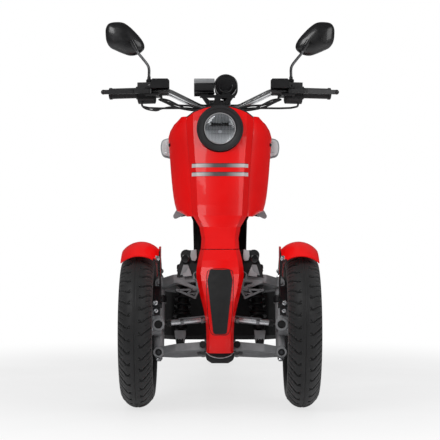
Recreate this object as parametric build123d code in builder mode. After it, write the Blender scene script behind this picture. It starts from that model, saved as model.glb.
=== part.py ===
from build123d import *
from math import cos, radians, sin, sqrt, tan
import os

os.makedirs("parts", exist_ok=True)

# Tilting electric three-wheel scooter, in millimetres.
# +Z is up, the front faces -Y, +X is the rider's left.
# The origin is on the ground, in the middle of the overall length and width.

# ---------------------------------------------------------------- driving dimensions
overall_length = 1851
wheelbase = 1340
front_track = 488
rake = 20  # lean of the steering column and of both kingpins, degrees
lock = 25  # steering angle each way, degrees

# wheels
front_tyre_diameter = 467
front_tyre_width = 98
rear_tyre_diameter = 473
rear_tyre_width = 120
bead_radius = 152.4
rim_wall = 6
rim_flange = 10
flange_thickness = 5
front_bead_width = 62
rear_bead_width = 86
hub_radius = 32
spoke_count = 5
spoke_root = 38
spoke_tip = 24
spoke_depth = 22
front_disc_radius = 104
rear_disc_radius = 100
disc_thickness = 4
disc_offset = 32  # brake disc plane, inboard of the wheel's centre plane
axle_radius = 10
motor_radius = 118
motor_width = 88
rear_disc_face = 58  # rear brake disc, from the centre plane

# front linkage
kingpin_x = 183
kingpin_set_back = 35  # kingpin line behind the front axle, at axle height
steering_arm = 62
pin_radius = 8
eye_radius = 14
post_radius = 15
upper_arm_z = 372
upper_arm_drop = 9
upper_pivot_x = 68
upper_arm_depth = 27
lower_arm_z = 172
lower_arm_drop = 8
lower_pivot_x = 51
lower_arm_depth = 23
arm_leg_width = 20
upper_leg_spread = 44
lower_leg_spread = 34
damper_top_x = 104
damper_top_z = 447
damper_foot_x = 120
damper_foot_z = 196
spring_radius = 26
spring_turns = 7
tie_rod_radius = 9.5
tie_rod_outer_z = 251
tie_rod_inner_z = 267
ball_radius = 9
carrier_gap = 28  # half the space between the two carrier plates
carrier_plate = 8

# steering column and handlebar
head_y = 300  # steering axis behind the front axle, at head_z
head_z = 940
stem_radius = 12.5
head_tube_radius = 27
bar_radius = 11
bar_centre_z = 923
bar_rise_z = 974
bar_grip_z = 972
bar_flat_x = 62
bar_rise_x = 165
bar_end_x = 352
bar_sweep = 38
grip_radius = 17
grip_inner_x = 264
grip_flange_radius = 21

# fairing
fairing_wall = 4
headlight_z = 840
bezel_radius = 70
lens_radius = 46.5
seam_z = 473
nose_bottom_z = 168

# floor, belly and battery
floor_z = 335
floor_thickness = 10
mat_thickness = 4
belly_bottom_z = 180
belly_half_width = 198
belly_wall = 4
belly_front = 256  # behind the front axle
belly_rear = 905
battery_length = 420
battery_width = 236
battery_height = 124

# rear body and seat
seat_hinge_y = 846  # behind the front axle
seat_hinge_z = 706
seat_length = 640
seat_half_width = 146
seat_base_thickness = 8
rider_seat_height = 48
pillion_seat_height = 84
panel_wall = 4
panel_top_z = 700

# fits
gap = 0.3  # running clearance on pins, shafts and seats
bar_fit = 0.1  # what is clamped or pushed on the bar
clearance = 5  # space between moving pieces

# ---------------------------------------------------------------- reference places
front_y = -overall_length / 2 + front_tyre_diameter / 2
rear_y = front_y + wheelbase
tail_y = overall_length / 2
front_z = front_tyre_diameter / 2
rear_z = rear_tyre_diameter / 2
wheel_x = front_track / 2

up_column = Vector(0, sin(radians(rake)), cos(radians(rake)))
back_of_column = Vector(0, cos(radians(rake)), -sin(radians(rake)))


def column_y(z):
    """Y of the steering axis at height z."""
    return front_y + head_y - (head_z - z) * tan(radians(rake))


def kingpin_y(z):
    """Y of both kingpin axes at height z."""
    return front_y + kingpin_set_back + (z - front_z) * tan(radians(rake))


def column_plane(z):
    """Plane across the steering axis: local x = X, local y = rearward."""
    return Plane(origin=(0, column_y(z), z), x_dir=(1, 0, 0), z_dir=up_column)


def kingpin_plane(z):
    """Plane across the left kingpin axis."""
    return Plane(origin=(kingpin_x, kingpin_y(z), z), x_dir=(1, 0, 0), z_dir=up_column)


def front_view(y):
    """Plane facing forward: local x = X, local y = Z, extrusion goes to the front."""
    return Plane(origin=(0, y, 0), x_dir=(1, 0, 0), z_dir=(0, -1, 0))


def side_view(x):
    """Plane facing +X: local x = Y, local y = Z."""
    return Plane.YZ.offset(x)


def wheel_profile_plane(y, z):
    """Plane through a wheel's axle: local x = X, local y = radius."""
    return Plane(origin=(0, y, z), x_dir=(1, 0, 0), z_dir=(0, -1, 0))


def along(z):
    """Distance along a raked axis for a height difference z."""
    return z / cos(radians(rake))


def mirrored(piece, label):
    """Write the right-hand twin of a left-hand piece."""
    with BuildPart() as twin:
        mirror(piece.part, about=Plane.YZ)
    twin.part.label = label
    export_step(twin.part, f"parts/{label}.step")


# ---------------------------------------------------------------- wheels
def tyre(centre_x, y, z, width, diameter, bead_width):
    """A round-shouldered scooter tyre, solid down to its bead seat."""
    radius = diameter / 2
    shoulder = width * 0.39
    shoulder_radius = radius - width * 0.2
    belly_radius = (bead_radius + rim_flange + radius) / 2 - 4
    lip_radius = bead_radius + rim_flange
    with BuildPart() as ring:
        with BuildSketch(wheel_profile_plane(y, z)):
            with BuildLine():
                Line((centre_x - bead_width / 2, bead_radius), (centre_x + bead_width / 2, bead_radius))
                Line((centre_x + bead_width / 2, bead_radius), (centre_x + bead_width / 2, lip_radius))
                ThreePointArc(
                    (centre_x + bead_width / 2, lip_radius),
                    (centre_x + width / 2, belly_radius),
                    (centre_x + shoulder, shoulder_radius),
                )
                ThreePointArc(
                    (centre_x + shoulder, shoulder_radius),
                    (centre_x, radius),
                    (centre_x - shoulder, shoulder_radius),
                )
                ThreePointArc(
                    (centre_x - shoulder, shoulder_radius),
                    (centre_x - width / 2, belly_radius),
                    (centre_x - bead_width / 2, lip_radius),
                )
                Line((centre_x - bead_width / 2, lip_radius), (centre_x - bead_width / 2, bead_radius))
            make_face()
        revolve(axis=Axis((0, y, z), (1, 0, 0)))
    return ring


front_hub_inner = wheel_x - disc_offset + disc_thickness / 2
front_hub_outer = wheel_x + 26

front_tyre_left = tyre(wheel_x, front_y, front_z, front_tyre_width, front_tyre_diameter, front_bead_width)
front_tyre_left.part.label = "front_tyre_left"
export_step(front_tyre_left.part, "parts/front_tyre_left.step")
mirrored(front_tyre_left, "front_tyre_right")

with BuildPart() as front_casting:
    with BuildSketch(wheel_profile_plane(front_y, front_z)):
        with BuildLine():
            half = front_bead_width / 2
            well = bead_radius - rim_wall
            Polyline(
                (wheel_x - half - flange_thickness, well),
                (wheel_x - half - flange_thickness, bead_radius + rim_flange),
                (wheel_x - half, bead_radius + rim_flange),
                (wheel_x - half, bead_radius),
                (wheel_x + half, bead_radius),
                (wheel_x + half, bead_radius + rim_flange),
                (wheel_x + half + flange_thickness, bead_radius + rim_flange),
                (wheel_x + half + flange_thickness, well),
                close=True,
            )
        make_face()
        with Locations(((front_hub_inner + front_hub_outer) / 2, hub_radius / 2)):
            Rectangle(front_hub_outer - front_hub_inner, hub_radius)
    revolve(axis=Axis((0, front_y, front_z), (1, 0, 0)))
    spoke_plane = Plane(origin=(wheel_x - 6, front_y, front_z), x_dir=(0, 1, 0), z_dir=(1, 0, 0))
    with BuildSketch(spoke_plane):
        with PolarLocations(0, spoke_count, start_angle=90):
            Polygon(
                (hub_radius - 4, -spoke_root / 2),
                (bead_radius - rim_wall / 2, -spoke_tip / 2),
                (bead_radius - rim_wall / 2, spoke_tip / 2),
                (hub_radius - 4, spoke_root / 2),
                align=None,
            )
    extrude(amount=spoke_depth)
    with Locations(Plane(origin=(front_hub_inner, front_y, front_z), x_dir=(0, 1, 0), z_dir=(1, 0, 0))):
        Cylinder(
            axle_radius + gap,
            front_hub_outer - front_hub_inner,
            align=(Align.CENTER, Align.CENTER, Align.MIN),
            mode=Mode.SUBTRACT,
        )


def brake_disc(face_x, y, z, radius, inner_radius, holes):
    """Ventilated disc: a drilled ring on a spider, from face_x outward."""
    with BuildPart() as disc:
        with BuildSketch(Plane(origin=(face_x, y, z), x_dir=(0, 1, 0), z_dir=(1, 0, 0))):
            Circle(radius)
            Circle(radius * 0.72, mode=Mode.SUBTRACT)
            Circle(inner_radius + 16)
            with PolarLocations(0, 5):
                with Locations(((inner_radius + radius * 0.75) / 2 + 4, 0)):
                    Rectangle(radius * 0.75 - inner_radius, 16)
            Circle(inner_radius, mode=Mode.SUBTRACT)
            with PolarLocations(radius * 0.86, holes):
                Circle(4, mode=Mode.SUBTRACT)
        extrude(amount=disc_thickness)
    return disc


front_disc_face = wheel_x - disc_offset - disc_thickness / 2
front_disc = brake_disc(front_disc_face, front_y, front_z, front_disc_radius, axle_radius + 12, 15)
with BuildPart() as front_rim_left:
    add(front_casting.part)
    add(front_disc.part)
front_rim_left.part.label = "front_rim_left"
export_step(front_rim_left.part, "parts/front_rim_left.step")
mirrored(front_rim_left, "front_rim_right")

rear_tyre = tyre(0, rear_y, rear_z, rear_tyre_width, rear_tyre_diameter, rear_bead_width)
rear_tyre.part.label = "rear_tyre"
export_step(rear_tyre.part, "parts/rear_tyre.step")

with BuildPart() as rear_wheel:
    with BuildSketch(wheel_profile_plane(rear_y, rear_z)):
        with BuildLine():
            half = rear_bead_width / 2
            motor_half = motor_width / 2
            Polyline(
                (-half - flange_thickness, bead_radius - rim_wall),
                (-half - flange_thickness, bead_radius + rim_flange),
                (-half, bead_radius + rim_flange),
                (-half, bead_radius),
                (half, bead_radius),
                (half, bead_radius + rim_flange),
                (half + flange_thickness, bead_radius + rim_flange),
                (half + flange_thickness, bead_radius - rim_wall),
                close=True,
            )
        make_face()
        with Locations((0, motor_radius / 2)):
            Rectangle(motor_width, motor_radius)
        with Locations((rear_disc_face / 2, 14)):
            Rectangle(rear_disc_face, 28)
    revolve(axis=Axis((0, rear_y, rear_z), (1, 0, 0)))
    with BuildSketch(Plane(origin=(-motor_half + 20, rear_y, rear_z), x_dir=(0, 1, 0), z_dir=(1, 0, 0))):
        with PolarLocations((motor_radius + bead_radius - rim_wall) / 2, 10):
            Rectangle(bead_radius - rim_wall - motor_radius + 6, 14)
    extrude(amount=motor_width - 40)
    with Locations(Plane(origin=(-motor_half, rear_y, rear_z), x_dir=(0, 1, 0), z_dir=(1, 0, 0))):
        Cylinder(
            axle_radius + gap,
            motor_half + rear_disc_face,
            align=(Align.CENTER, Align.CENTER, Align.MIN),
            mode=Mode.SUBTRACT,
        )

rear_disc = brake_disc(rear_disc_face, rear_y, rear_z, rear_disc_radius, axle_radius + 12, 15)
with BuildPart() as rear_hub_motor:
    add(rear_wheel.part)
    add(rear_disc.part)
rear_hub_motor.part.label = "rear_hub_motor"
export_step(rear_hub_motor.part, "parts/rear_hub_motor.step")


# ---------------------------------------------------------------- front linkage
linkage_shift = (kingpin_y(0) - column_y(0)) * cos(radians(rake))


def arm(pivot_z, drop, pivot_x, spread, depth, window):
    """Left-hand arm: two pivot eyes inboard on one shaft line, one kingpin eye outboard."""
    inner = Vector(pivot_x, kingpin_y(pivot_z), pivot_z)
    outer = Vector(kingpin_x, kingpin_y(pivot_z - drop), pivot_z - drop)
    run = (outer - inner).normalized()
    length = (outer - inner).length
    lie = Plane(origin=inner, x_dir=run, z_dir=run.cross(back_of_column))
    shaft_line = Plane(origin=inner, x_dir=run, z_dir=back_of_column)
    eye_line = Plane(origin=outer, x_dir=(1, 0, 0), z_dir=up_column)
    with BuildPart() as piece:
        with BuildSketch(lie):
            with Locations((0, spread), (0, -spread), (length * 0.6, spread - 6), (length * 0.6, 6 - spread)):
                Circle(arm_leg_width / 2)
            with Locations((length, 0)):
                Circle(eye_radius)
            make_hull()
            if window:
                offset(amount=-arm_leg_width, mode=Mode.SUBTRACT)
        extrude(amount=depth / 2, both=True)
        with Locations(shaft_line.offset(spread), shaft_line.offset(-spread)):
            Cylinder(depth / 2 + 1, arm_leg_width + 10)
        # bush and bolt on the front of the kingpin eye
        with Locations(Plane(origin=outer, x_dir=(1, 0, 0), z_dir=-back_of_column)):
            Cylinder(depth / 2 + 1, eye_radius + 9, align=(Align.CENTER, Align.CENTER, Align.MIN))
            Cylinder(7, eye_radius + 13, align=(Align.CENTER, Align.CENTER, Align.MIN))
        with Locations(eye_line):
            Cylinder(eye_radius, depth)
            Cylinder(pin_radius + gap, depth * 3, mode=Mode.SUBTRACT)
        with Locations(shaft_line):
            Box(
                2 * eye_radius + 8,
                2 * eye_radius + 8,
                2 * spread - arm_leg_width - 10,
                mode=Mode.SUBTRACT,
            )
            Cylinder(pin_radius + gap, 4 * spread, mode=Mode.SUBTRACT)
    return piece, inner, run, lie


upper_arm_left, upper_inner, upper_run, upper_lie = arm(
    upper_arm_z, upper_arm_drop, upper_pivot_x, upper_leg_spread, upper_arm_depth, True
)
truss_plane = Plane(
    origin=upper_inner - back_of_column * (upper_leg_spread + arm_leg_width / 2),
    x_dir=upper_run,
    z_dir=-back_of_column,
)
with BuildPart() as upper_arms:
    add(upper_arm_left.part)
    with BuildSketch(truss_plane):
        # ribbed web under the front leg
        Polygon((-8, -8), (62, -8), (62, -16), (-8, -48), align=None)
        Polygon((6, -17), (34, -17), (6, -32), align=None, mode=Mode.SUBTRACT)
        # clevis on top of the front leg
        Polygon((16, 8), (52, 8), (40, 40), (26, 40), align=None)
    extrude(amount=-8)
    mirror(about=Plane.YZ)

lower_arm_left, lower_inner, lower_run, lower_lie = arm(
    lower_arm_z, lower_arm_drop, lower_pivot_x, lower_leg_spread, lower_arm_depth, False
)
damper_foot = Vector(damper_foot_x, kingpin_y(damper_foot_z), damper_foot_z)
damper_top = Vector(damper_top_x, kingpin_y(damper_top_z), damper_top_z)
damper_eye = 13
damper_eye_width = 20
damper_bolt = 6
ear_thickness = 6
with BuildPart() as lower_arms:
    add(lower_arm_left.part)
    for side in (1, -1):
        ear = Plane(
            origin=damper_foot + back_of_column * side * (damper_eye_width / 2 + gap),
            x_dir=(1, 0, 0),
            z_dir=back_of_column * side,
        )
        drop_to_arm = -(damper_foot_z - lower_arm_z) / cos(radians(rake)) * side
        with BuildSketch(ear):
            Circle(damper_eye)
            with Locations((0, drop_to_arm)):
                Rectangle(damper_eye * 2.6, 6)
            make_hull()
        extrude(amount=ear_thickness)
    with Locations(Plane(origin=damper_foot, x_dir=(1, 0, 0), z_dir=back_of_column)):
        Cylinder(damper_bolt, damper_eye_width + 2 * ear_thickness + 12)
    mirror(about=Plane.YZ)

with BuildPart() as suspension_arms:
    add(upper_arms.part)
    add(lower_arms.part)
suspension_arms.part.label = "suspension_arms"
export_step(suspension_arms.part, "parts/suspension_arms.step")

damper_run = (damper_top - damper_foot).normalized()
damper_length = (damper_top - damper_foot).length
damper_plane = Plane(origin=damper_foot, x_dir=damper_run.cross(-back_of_column), z_dir=-back_of_column)
with BuildPart() as front_dampers:
    with BuildSketch(damper_plane):
        with Locations((0, damper_length / 2)):
            Rectangle(2 * 9, damper_length)
        with Locations((0, damper_length * 0.36)):
            Rectangle(2 * 17, damper_length * 0.46)
        with Locations((0, damper_length - 34), (0, damper_length * 0.3)):
            Rectangle(2 * spring_radius + 2, 8)
        spring_span = damper_length * 0.7 - 34
        for turn in range(spring_turns):
            with Locations((0, damper_length * 0.3 + spring_span * (turn + 0.5) / spring_turns)):
                SlotOverall(2 * spring_radius, 9)
        with Locations((-spring_radius * 2, damper_length / 2)):
            Rectangle(4 * spring_radius, damper_length * 2, mode=Mode.SUBTRACT)
    revolve(axis=Axis(damper_foot, damper_run))
    for end in (damper_foot, damper_top):
        with Locations(Plane(origin=end, x_dir=(1, 0, 0), z_dir=back_of_column)):
            Cylinder(damper_eye, damper_eye_width)
            Cylinder(damper_bolt + gap, damper_eye_width * 2, mode=Mode.SUBTRACT)
    mirror(about=Plane.YZ)

# carrier plates: local x runs rearward, local y runs up the column
carrier_base_z = lower_arm_z - 22
carrier_height = along(damper_top_z + 16 - carrier_base_z)
carrier_front = -36
carrier_back = 64
block_front = 20
block_back = 62
carrier_notch = 24
arm_rise = steering_arm * sin(radians(rake))
pitman_z = tie_rod_inner_z - arm_rise
pitman_thickness = 10
with BuildPart() as linkage_carrier:
    with BuildSketch(
        Plane(
            origin=(carrier_gap, column_y(carrier_base_z), carrier_base_z),
            x_dir=back_of_column,
            z_dir=(1, 0, 0),
        )
    ):
        Polygon(
            (carrier_front + 10, 0),
            (carrier_back - 24, 0),
            (carrier_back, 60),
            (carrier_back, carrier_height - 30),
            (carrier_back - 30, carrier_height),
            (carrier_front + 10, carrier_height),
            (carrier_front, carrier_height - 20),
            (carrier_front, 20),
            align=None,
        )
        with Locations((14, carrier_height * 0.5)):
            SlotOverall(carrier_height * 0.36, 40, rotation=90, mode=Mode.SUBTRACT)
        # notch that the pitman arm swings through
        with Locations((carrier_front, along(pitman_z - carrier_base_z))):
            Rectangle(2 * carrier_notch, pitman_thickness + 14, mode=Mode.SUBTRACT)
    extrude(amount=carrier_plate)
    # pivot shafts of the two arms, each in a lug between the arm's legs
    for pivot_z, pivot_x, spread in (
        (upper_arm_z, upper_pivot_x, upper_leg_spread),
        (lower_arm_z, lower_pivot_x, lower_leg_spread),
    ):
        shaft = Plane(
            origin=(pivot_x, kingpin_y(pivot_z), pivot_z),
            x_dir=(1, 0, 0),
            z_dir=back_of_column,
        )
        lug = 2 * spread - arm_leg_width - 10 - 2 * gap
        reach = pivot_x - carrier_gap - carrier_plate
        with Locations(shaft):
            Cylinder(pin_radius, 2 * spread + arm_leg_width + 14)
            Cylinder(eye_radius - 2, lug)
            with Locations((-reach / 2, 0, 0)):
                Box(reach + 2, 2 * (eye_radius - 2), lug)
        for end in (1, -1):
            with Locations(shaft.offset(end * (spread + arm_leg_width / 2 + 5 + gap + 4))):
                Cylinder(eye_radius - 4, 8)
    # bridge that carries the tops of the dampers
    bridge = Plane(
        origin=(0, kingpin_y(damper_top_z), damper_top_z),
        x_dir=(1, 0, 0),
        z_dir=back_of_column,
    )
    with BuildSketch(bridge.offset(-damper_eye_width / 2 - gap)):
        with Locations((damper_top_x / 2 + 4, 0)):
            Rectangle(damper_top_x + 8, 30)
        with Locations((damper_top_x, 0)):
            Circle(17)
    extrude(amount=-12)
    with Locations(
        Plane(
            origin=(damper_top_x, kingpin_y(damper_top_z), damper_top_z),
            x_dir=(1, 0, 0),
            z_dir=back_of_column,
        )
    ):
        Cylinder(damper_bolt, damper_eye_width + 14)
    # stay that holds the nose
    with Locations((carrier_gap + carrier_plate / 2, front_y + 42, 398)):
        Box(carrier_plate, 92, 18)
    with Locations(Plane(origin=(carrier_gap, front_y + 2, 400), x_dir=(0, 1, 0), z_dir=(1, 0, 0))):
        Cylinder(
            4,
            70.5 - fairing_wall - gap - carrier_gap,
            align=(Align.CENTER, Align.CENTER, Align.MIN),
        )
    mirror(about=Plane.YZ)
    # cross plates behind the steering shaft
    for level in (26, carrier_height * 0.5, carrier_height - 34):
        with Locations(
            Plane(
                origin=(0, column_y(carrier_base_z), carrier_base_z),
                x_dir=back_of_column,
                z_dir=(1, 0, 0),
            )
        ):
            with Locations((block_back - 6, level, 0)):
                Box(10, 34, 2 * carrier_gap)
    # lower bush of the steering shaft
    with Locations(column_plane(lower_arm_z + 34)):
        Cylinder(stem_radius + 9, 16)
        with Locations((0, (block_back - 6) / 2, 0)):
            Box(22, block_back - 6, 16)
        with Locations((carrier_gap / 2, 0, 0), (-carrier_gap / 2, 0, 0)):
            Box(carrier_gap, 12, 16)
        Cylinder(stem_radius + gap, 60, mode=Mode.SUBTRACT)
linkage_carrier.part.label = "linkage_carrier"
export_step(linkage_carrier.part, "parts/linkage_carrier.step")


# ---------------------------------------------------------------- steered knuckles
eye_washer = 2.5  # post and nuts stand this far off the eyes
knuckle_arm_z = tie_rod_outer_z - arm_rise
knuckle_plane = kingpin_plane(knuckle_arm_z)
ball_centre = knuckle_plane.origin - back_of_column * steering_arm
upper_eye_z = upper_arm_z - upper_arm_drop
lower_eye_z = lower_arm_z - lower_arm_drop
upper_eye_low = upper_eye_z - (upper_arm_depth / 2 + eye_washer) * cos(radians(rake))
lower_eye_high = lower_eye_z + (lower_arm_depth / 2 + eye_washer) * cos(radians(rake))
axle_boss_radius = 19
knuckle_inner_x = 175
knuckle_outer_x = 204
housing_radius = 18
housing_length = 26
boot_start = 25
caliper_angle = 26  # caliper ahead of the top of the disc, degrees
caliper_spread = 46
caliper_inner_x = 178
bracket_thickness = 8
caliper_outer_x = front_disc_face + disc_thickness + 16
bracket_x = front_disc_face - 6 - bracket_thickness
hub_nut = 8

with BuildPart() as knuckle_left:
    # post between the two arms, with a pin through each eye
    with Locations(kingpin_plane(lower_eye_high)):
        Cylinder(
            post_radius,
            along(upper_eye_low - lower_eye_high),
            align=(Align.CENTER, Align.CENTER, Align.MIN),
        )
    with Locations(kingpin_plane(lower_eye_z)):
        Cylinder(pin_radius, lower_arm_depth + 16)
    with Locations(kingpin_plane(upper_eye_z)):
        Cylinder(pin_radius, upper_arm_depth + 16)
    with Locations(kingpin_plane(lower_eye_z).offset(-lower_arm_depth / 2 - eye_washer - 4)):
        Cylinder(pin_radius + 2.5, 8)
    with Locations(kingpin_plane(upper_eye_z).offset(upper_arm_depth / 2 + eye_washer + 4)):
        Cylinder(pin_radius + 2.5, 8)
    # forging that joins the post to the stub axle
    with BuildSketch(side_view(knuckle_inner_x)):
        with Locations((front_y, front_z)):
            Circle(axle_boss_radius)
        with Locations((kingpin_y(front_z), front_z)):
            Circle(axle_boss_radius - 2)
        make_hull()
    extrude(amount=knuckle_outer_x - knuckle_inner_x)
    # plate that carries the brake caliper
    with BuildSketch(side_view(bracket_x)):
        with Locations((front_y, front_z)):
            Circle(axle_boss_radius)
            with Locations(Rotation(0, 0, 90 + caliper_angle)):
                with Locations((86, 0)):
                    Rectangle(30, 30)
        make_hull()
    extrude(amount=bracket_thickness)
    # stub axle
    with Locations(Plane(origin=(knuckle_outer_x - 6, front_y, front_z), x_dir=(0, 1, 0), z_dir=(1, 0, 0))):
        Cylinder(
            axle_radius,
            front_hub_outer - knuckle_outer_x + 20,
            align=(Align.CENTER, Align.CENTER, Align.MIN),
        )
    with Locations(Plane(origin=(front_hub_outer + 1, front_y, front_z), x_dir=(0, 1, 0), z_dir=(1, 0, 0))):
        Cylinder(axle_radius + 6, hub_nut, align=(Align.CENTER, Align.CENTER, Align.MIN))
    # steering arm and the ball housing at its end
    with BuildSketch(knuckle_plane.offset(-8)):
        Circle(post_radius)
        with Locations((0, -steering_arm + housing_length / 2)):
            Circle(10)
        make_hull()
    extrude(amount=16)
    with Locations(Plane(origin=ball_centre, x_dir=(1, 0, 0), z_dir=-back_of_column)):
        Cylinder(housing_radius, housing_length)
    with Locations(Plane(origin=ball_centre, x_dir=(1, 0, 0), z_dir=-back_of_column).offset(housing_length / 2)):
        Cylinder(13, 5, align=(Align.CENTER, Align.CENTER, Align.MIN))
    with Locations(Location(ball_centre)):
        Sphere(ball_radius + gap, mode=Mode.SUBTRACT)
    with Locations(Plane(origin=ball_centre, x_dir=back_of_column, z_dir=(-1, 0, 0))):
        Cone(
            ball_radius - 2.5,
            boot_start * 0.95,
            boot_start * 1.1,
            align=(Align.CENTER, Align.CENTER, Align.MIN),
            mode=Mode.SUBTRACT,
        )
knuckle_left.part.label = "knuckle_left"
export_step(knuckle_left.part, "parts/knuckle_left.step")
mirrored(knuckle_left, "knuckle_right")


def sector_toward(x, y, z, angle):
    """Plane across a wheel's axle whose local x points up at this angle from the rear."""
    return Plane(origin=(x, y, z), x_dir=(0, cos(radians(angle)), sin(radians(angle))), z_dir=(1, 0, 0))


def ring_sector(near, far, reach):
    """Piece of a ring between two radii, reach degrees each way from local x."""
    with BuildSketch(mode=Mode.PRIVATE) as section:
        Circle(far)
        Circle(near, mode=Mode.SUBTRACT)
        Polygon(
            (0, 0),
            (2 * far * cos(radians(reach)), -2 * far * sin(radians(reach))),
            (2 * far * cos(radians(reach)), 2 * far * sin(radians(reach))),
            align=None,
            mode=Mode.INTERSECT,
        )
    return section.sketch


with BuildPart() as caliper_left:
    sector_plane = sector_toward(caliper_inner_x, front_y, front_z, 90 + caliper_angle)
    with BuildSketch(sector_plane):
        add(ring_sector(70, front_disc_radius + 26, caliper_spread / 2))
    extrude(amount=caliper_outer_x - caliper_inner_x)
    with BuildSketch(sector_plane.offset(bracket_x - caliper_inner_x)):
        Circle(front_disc_radius + 3)
    extrude(amount=front_disc_face + disc_thickness + 2 - bracket_x, mode=Mode.SUBTRACT)
    with BuildSketch(sector_plane):
        with Locations((92, 17), (92, -17)):
            Circle(9)
    extrude(amount=-6)
caliper_left.part.label = "brake_caliper_left"
export_step(caliper_left.part, "parts/brake_caliper_left.step")
mirrored(caliper_left, "brake_caliper_right")

# ---------------------------------------------------------------- front fenders
fender_inner_x = 181
fender_outer_x = 290
fender_crown = 29  # crown above the tyre
fender_lip = 3
fender_wall = 3
fender_front = 32  # degrees ahead of the top
fender_rear = 58
stay_x = 182
stay_thickness = 4

with BuildPart() as fender_skin:
    middle = (fender_inner_x + fender_outer_x) / 2
    crown = front_z + fender_crown
    lip = front_z + fender_lip
    with BuildSketch(wheel_profile_plane(front_y, front_z)):
        with BuildLine():
            ThreePointArc((fender_inner_x, lip), (middle, crown), (fender_outer_x, lip))
            Line((fender_outer_x, lip), (fender_outer_x - fender_wall, lip))
            ThreePointArc(
                (fender_outer_x - fender_wall, lip),
                (middle, crown - fender_wall),
                (fender_inner_x + fender_wall, lip),
            )
            Line((fender_inner_x + fender_wall, lip), (fender_inner_x, lip))
        make_face()
    revolve(axis=Axis((0, front_y, front_z), (1, 0, 0)), revolution_arc=fender_front)
    with BuildSketch(wheel_profile_plane(front_y, front_z)):
        with BuildLine():
            ThreePointArc((fender_inner_x, lip), (middle, crown), (fender_outer_x, lip))
            Line((fender_outer_x, lip), (fender_outer_x - fender_wall, lip))
            ThreePointArc(
                (fender_outer_x - fender_wall, lip),
                (middle, crown - fender_wall),
                (fender_inner_x + fender_wall, lip),
            )
            Line((fender_inner_x + fender_wall, lip), (fender_inner_x, lip))
        make_face()
    revolve(axis=Axis((0, front_y, front_z), (1, 0, 0)), revolution_arc=-fender_rear)

clamp_z = 318
with BuildPart() as fender_stay:
    with BuildSketch(side_view(stay_x - stay_thickness)):
        Polygon(
            (kingpin_y(clamp_z) - 2, clamp_z - 10),
            (kingpin_y(clamp_z) - 2, clamp_z + 12),
            (front_y + 26, front_z + 150),
            (front_y + 40, front_z + front_z + 14),
            (front_y - 30, front_z + front_z + 14),
            (front_y - 8, front_z + 150),
            (front_y + 14, clamp_z - 10),
            align=None,
        )
    extrude(amount=stay_thickness)
    with Locations(kingpin_plane(clamp_z)):
        Cylinder(post_radius + gap + 5, 20)
        Cylinder(post_radius + gap, 60, mode=Mode.SUBTRACT)

with BuildPart() as front_fender_left:
    add(fender_skin.part)
    add(fender_stay.part)
front_fender_left.part.label = "front_fender_left"
export_step(front_fender_left.part, "parts/front_fender_left.step")
mirrored(front_fender_left, "front_fender_right")

# ---------------------------------------------------------------- tie rods
eye_height = 10
pitman_plane = column_plane(pitman_z)
pitman_end = pitman_plane.origin - back_of_column * steering_arm
rod_start = 34
boot_length = 32
boot_radius = 12
eye_lift = pitman_thickness / 2 + gap + eye_height / 2


def tie_rod(side, lift):
    """One rod from the pitman pin to the knuckle's ball housing; side is +1 for the left."""
    outer = Vector(ball_centre.X * side, ball_centre.Y, ball_centre.Z)
    inner = pitman_end
    run = (outer - inner).normalized()
    start = inner + run * rod_start
    length = (outer - start).length
    with BuildPart() as rod:
        with Locations(Plane(origin=start, x_dir=back_of_column, z_dir=run)):
            Cylinder(
                tie_rod_radius,
                length - boot_start - boot_length + 1,
                align=(Align.CENTER, Align.CENTER, Align.MIN),
            )
            Cylinder(ball_radius - 4, length, align=(Align.CENTER, Align.CENTER, Align.MIN))
        for ring in range(4):
            ring_start = outer - run * (boot_start + boot_length * (ring + 1) / 4)
            with Locations(Plane(origin=ring_start, x_dir=back_of_column, z_dir=run)):
                Cone(
                    boot_radius,
                    boot_radius - 3,
                    boot_length / 4,
                    align=(Align.CENTER, Align.CENTER, Align.MIN),
                )
        with Locations(Location(outer)):
            Sphere(ball_radius)
        with BuildSketch(
            Plane(origin=pitman_end, x_dir=(side, 0, 0), z_dir=up_column * side).offset(
                (lift - eye_height / 2) if side > 0 else (-lift - eye_height / 2)
            )
        ):
            Circle(13)
            with Locations((rod_start + 6, 0)):
                Circle(8)
            make_hull()
            Circle(pin_radius - 2 + gap, mode=Mode.SUBTRACT)
        extrude(amount=eye_height)
    return rod


left_rod = tie_rod(1, eye_lift)
right_rod = tie_rod(-1, -eye_lift)
with BuildPart() as tie_rods:
    add(left_rod.part)
    add(right_rod.part)
tie_rods.part.label = "tie_rods"
export_step(tie_rods.part, "parts/tie_rods.step")

# ---------------------------------------------------------------- steering stem and bar
clamp_half_width = 34
with BuildPart() as steering_stem:
    stem_foot = lower_arm_z + 14
    with Locations(column_plane(stem_foot)):
        Cylinder(
            stem_radius,
            along(bar_centre_z - 10 - stem_foot),
            align=(Align.CENTER, Align.CENTER, Align.MIN),
        )
    with BuildSketch(pitman_plane.offset(-pitman_thickness / 2)):
        Circle(stem_radius + 6)
        with Locations((0, -steering_arm)):
            Circle(13)
        make_hull()
    extrude(amount=pitman_thickness)
    with Locations(pitman_plane):
        Cylinder(stem_radius + 6, 34)
        with Locations((0, -steering_arm, 0)):
            Cylinder(pin_radius - 2, 2 * (eye_lift + eye_height / 2 + gap) + 12)
    for end in (1, -1):
        with Locations(pitman_plane.offset(end * (eye_lift + eye_height / 2 + gap + 3))):
            with Locations((0, -steering_arm, 0)):
                Cylinder(pin_radius + 2, 6)
    with Locations(Plane(origin=(0, column_y(bar_centre_z), bar_centre_z), x_dir=(1, 0, 0), z_dir=up_column)):
        Box(2 * clamp_half_width, 44, 34)
    with Locations(Plane(origin=(0, column_y(bar_centre_z), bar_centre_z), x_dir=(0, 1, 0), z_dir=(1, 0, 0))):
        Cylinder(bar_radius + bar_fit, 4 * clamp_half_width, mode=Mode.SUBTRACT)
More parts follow.
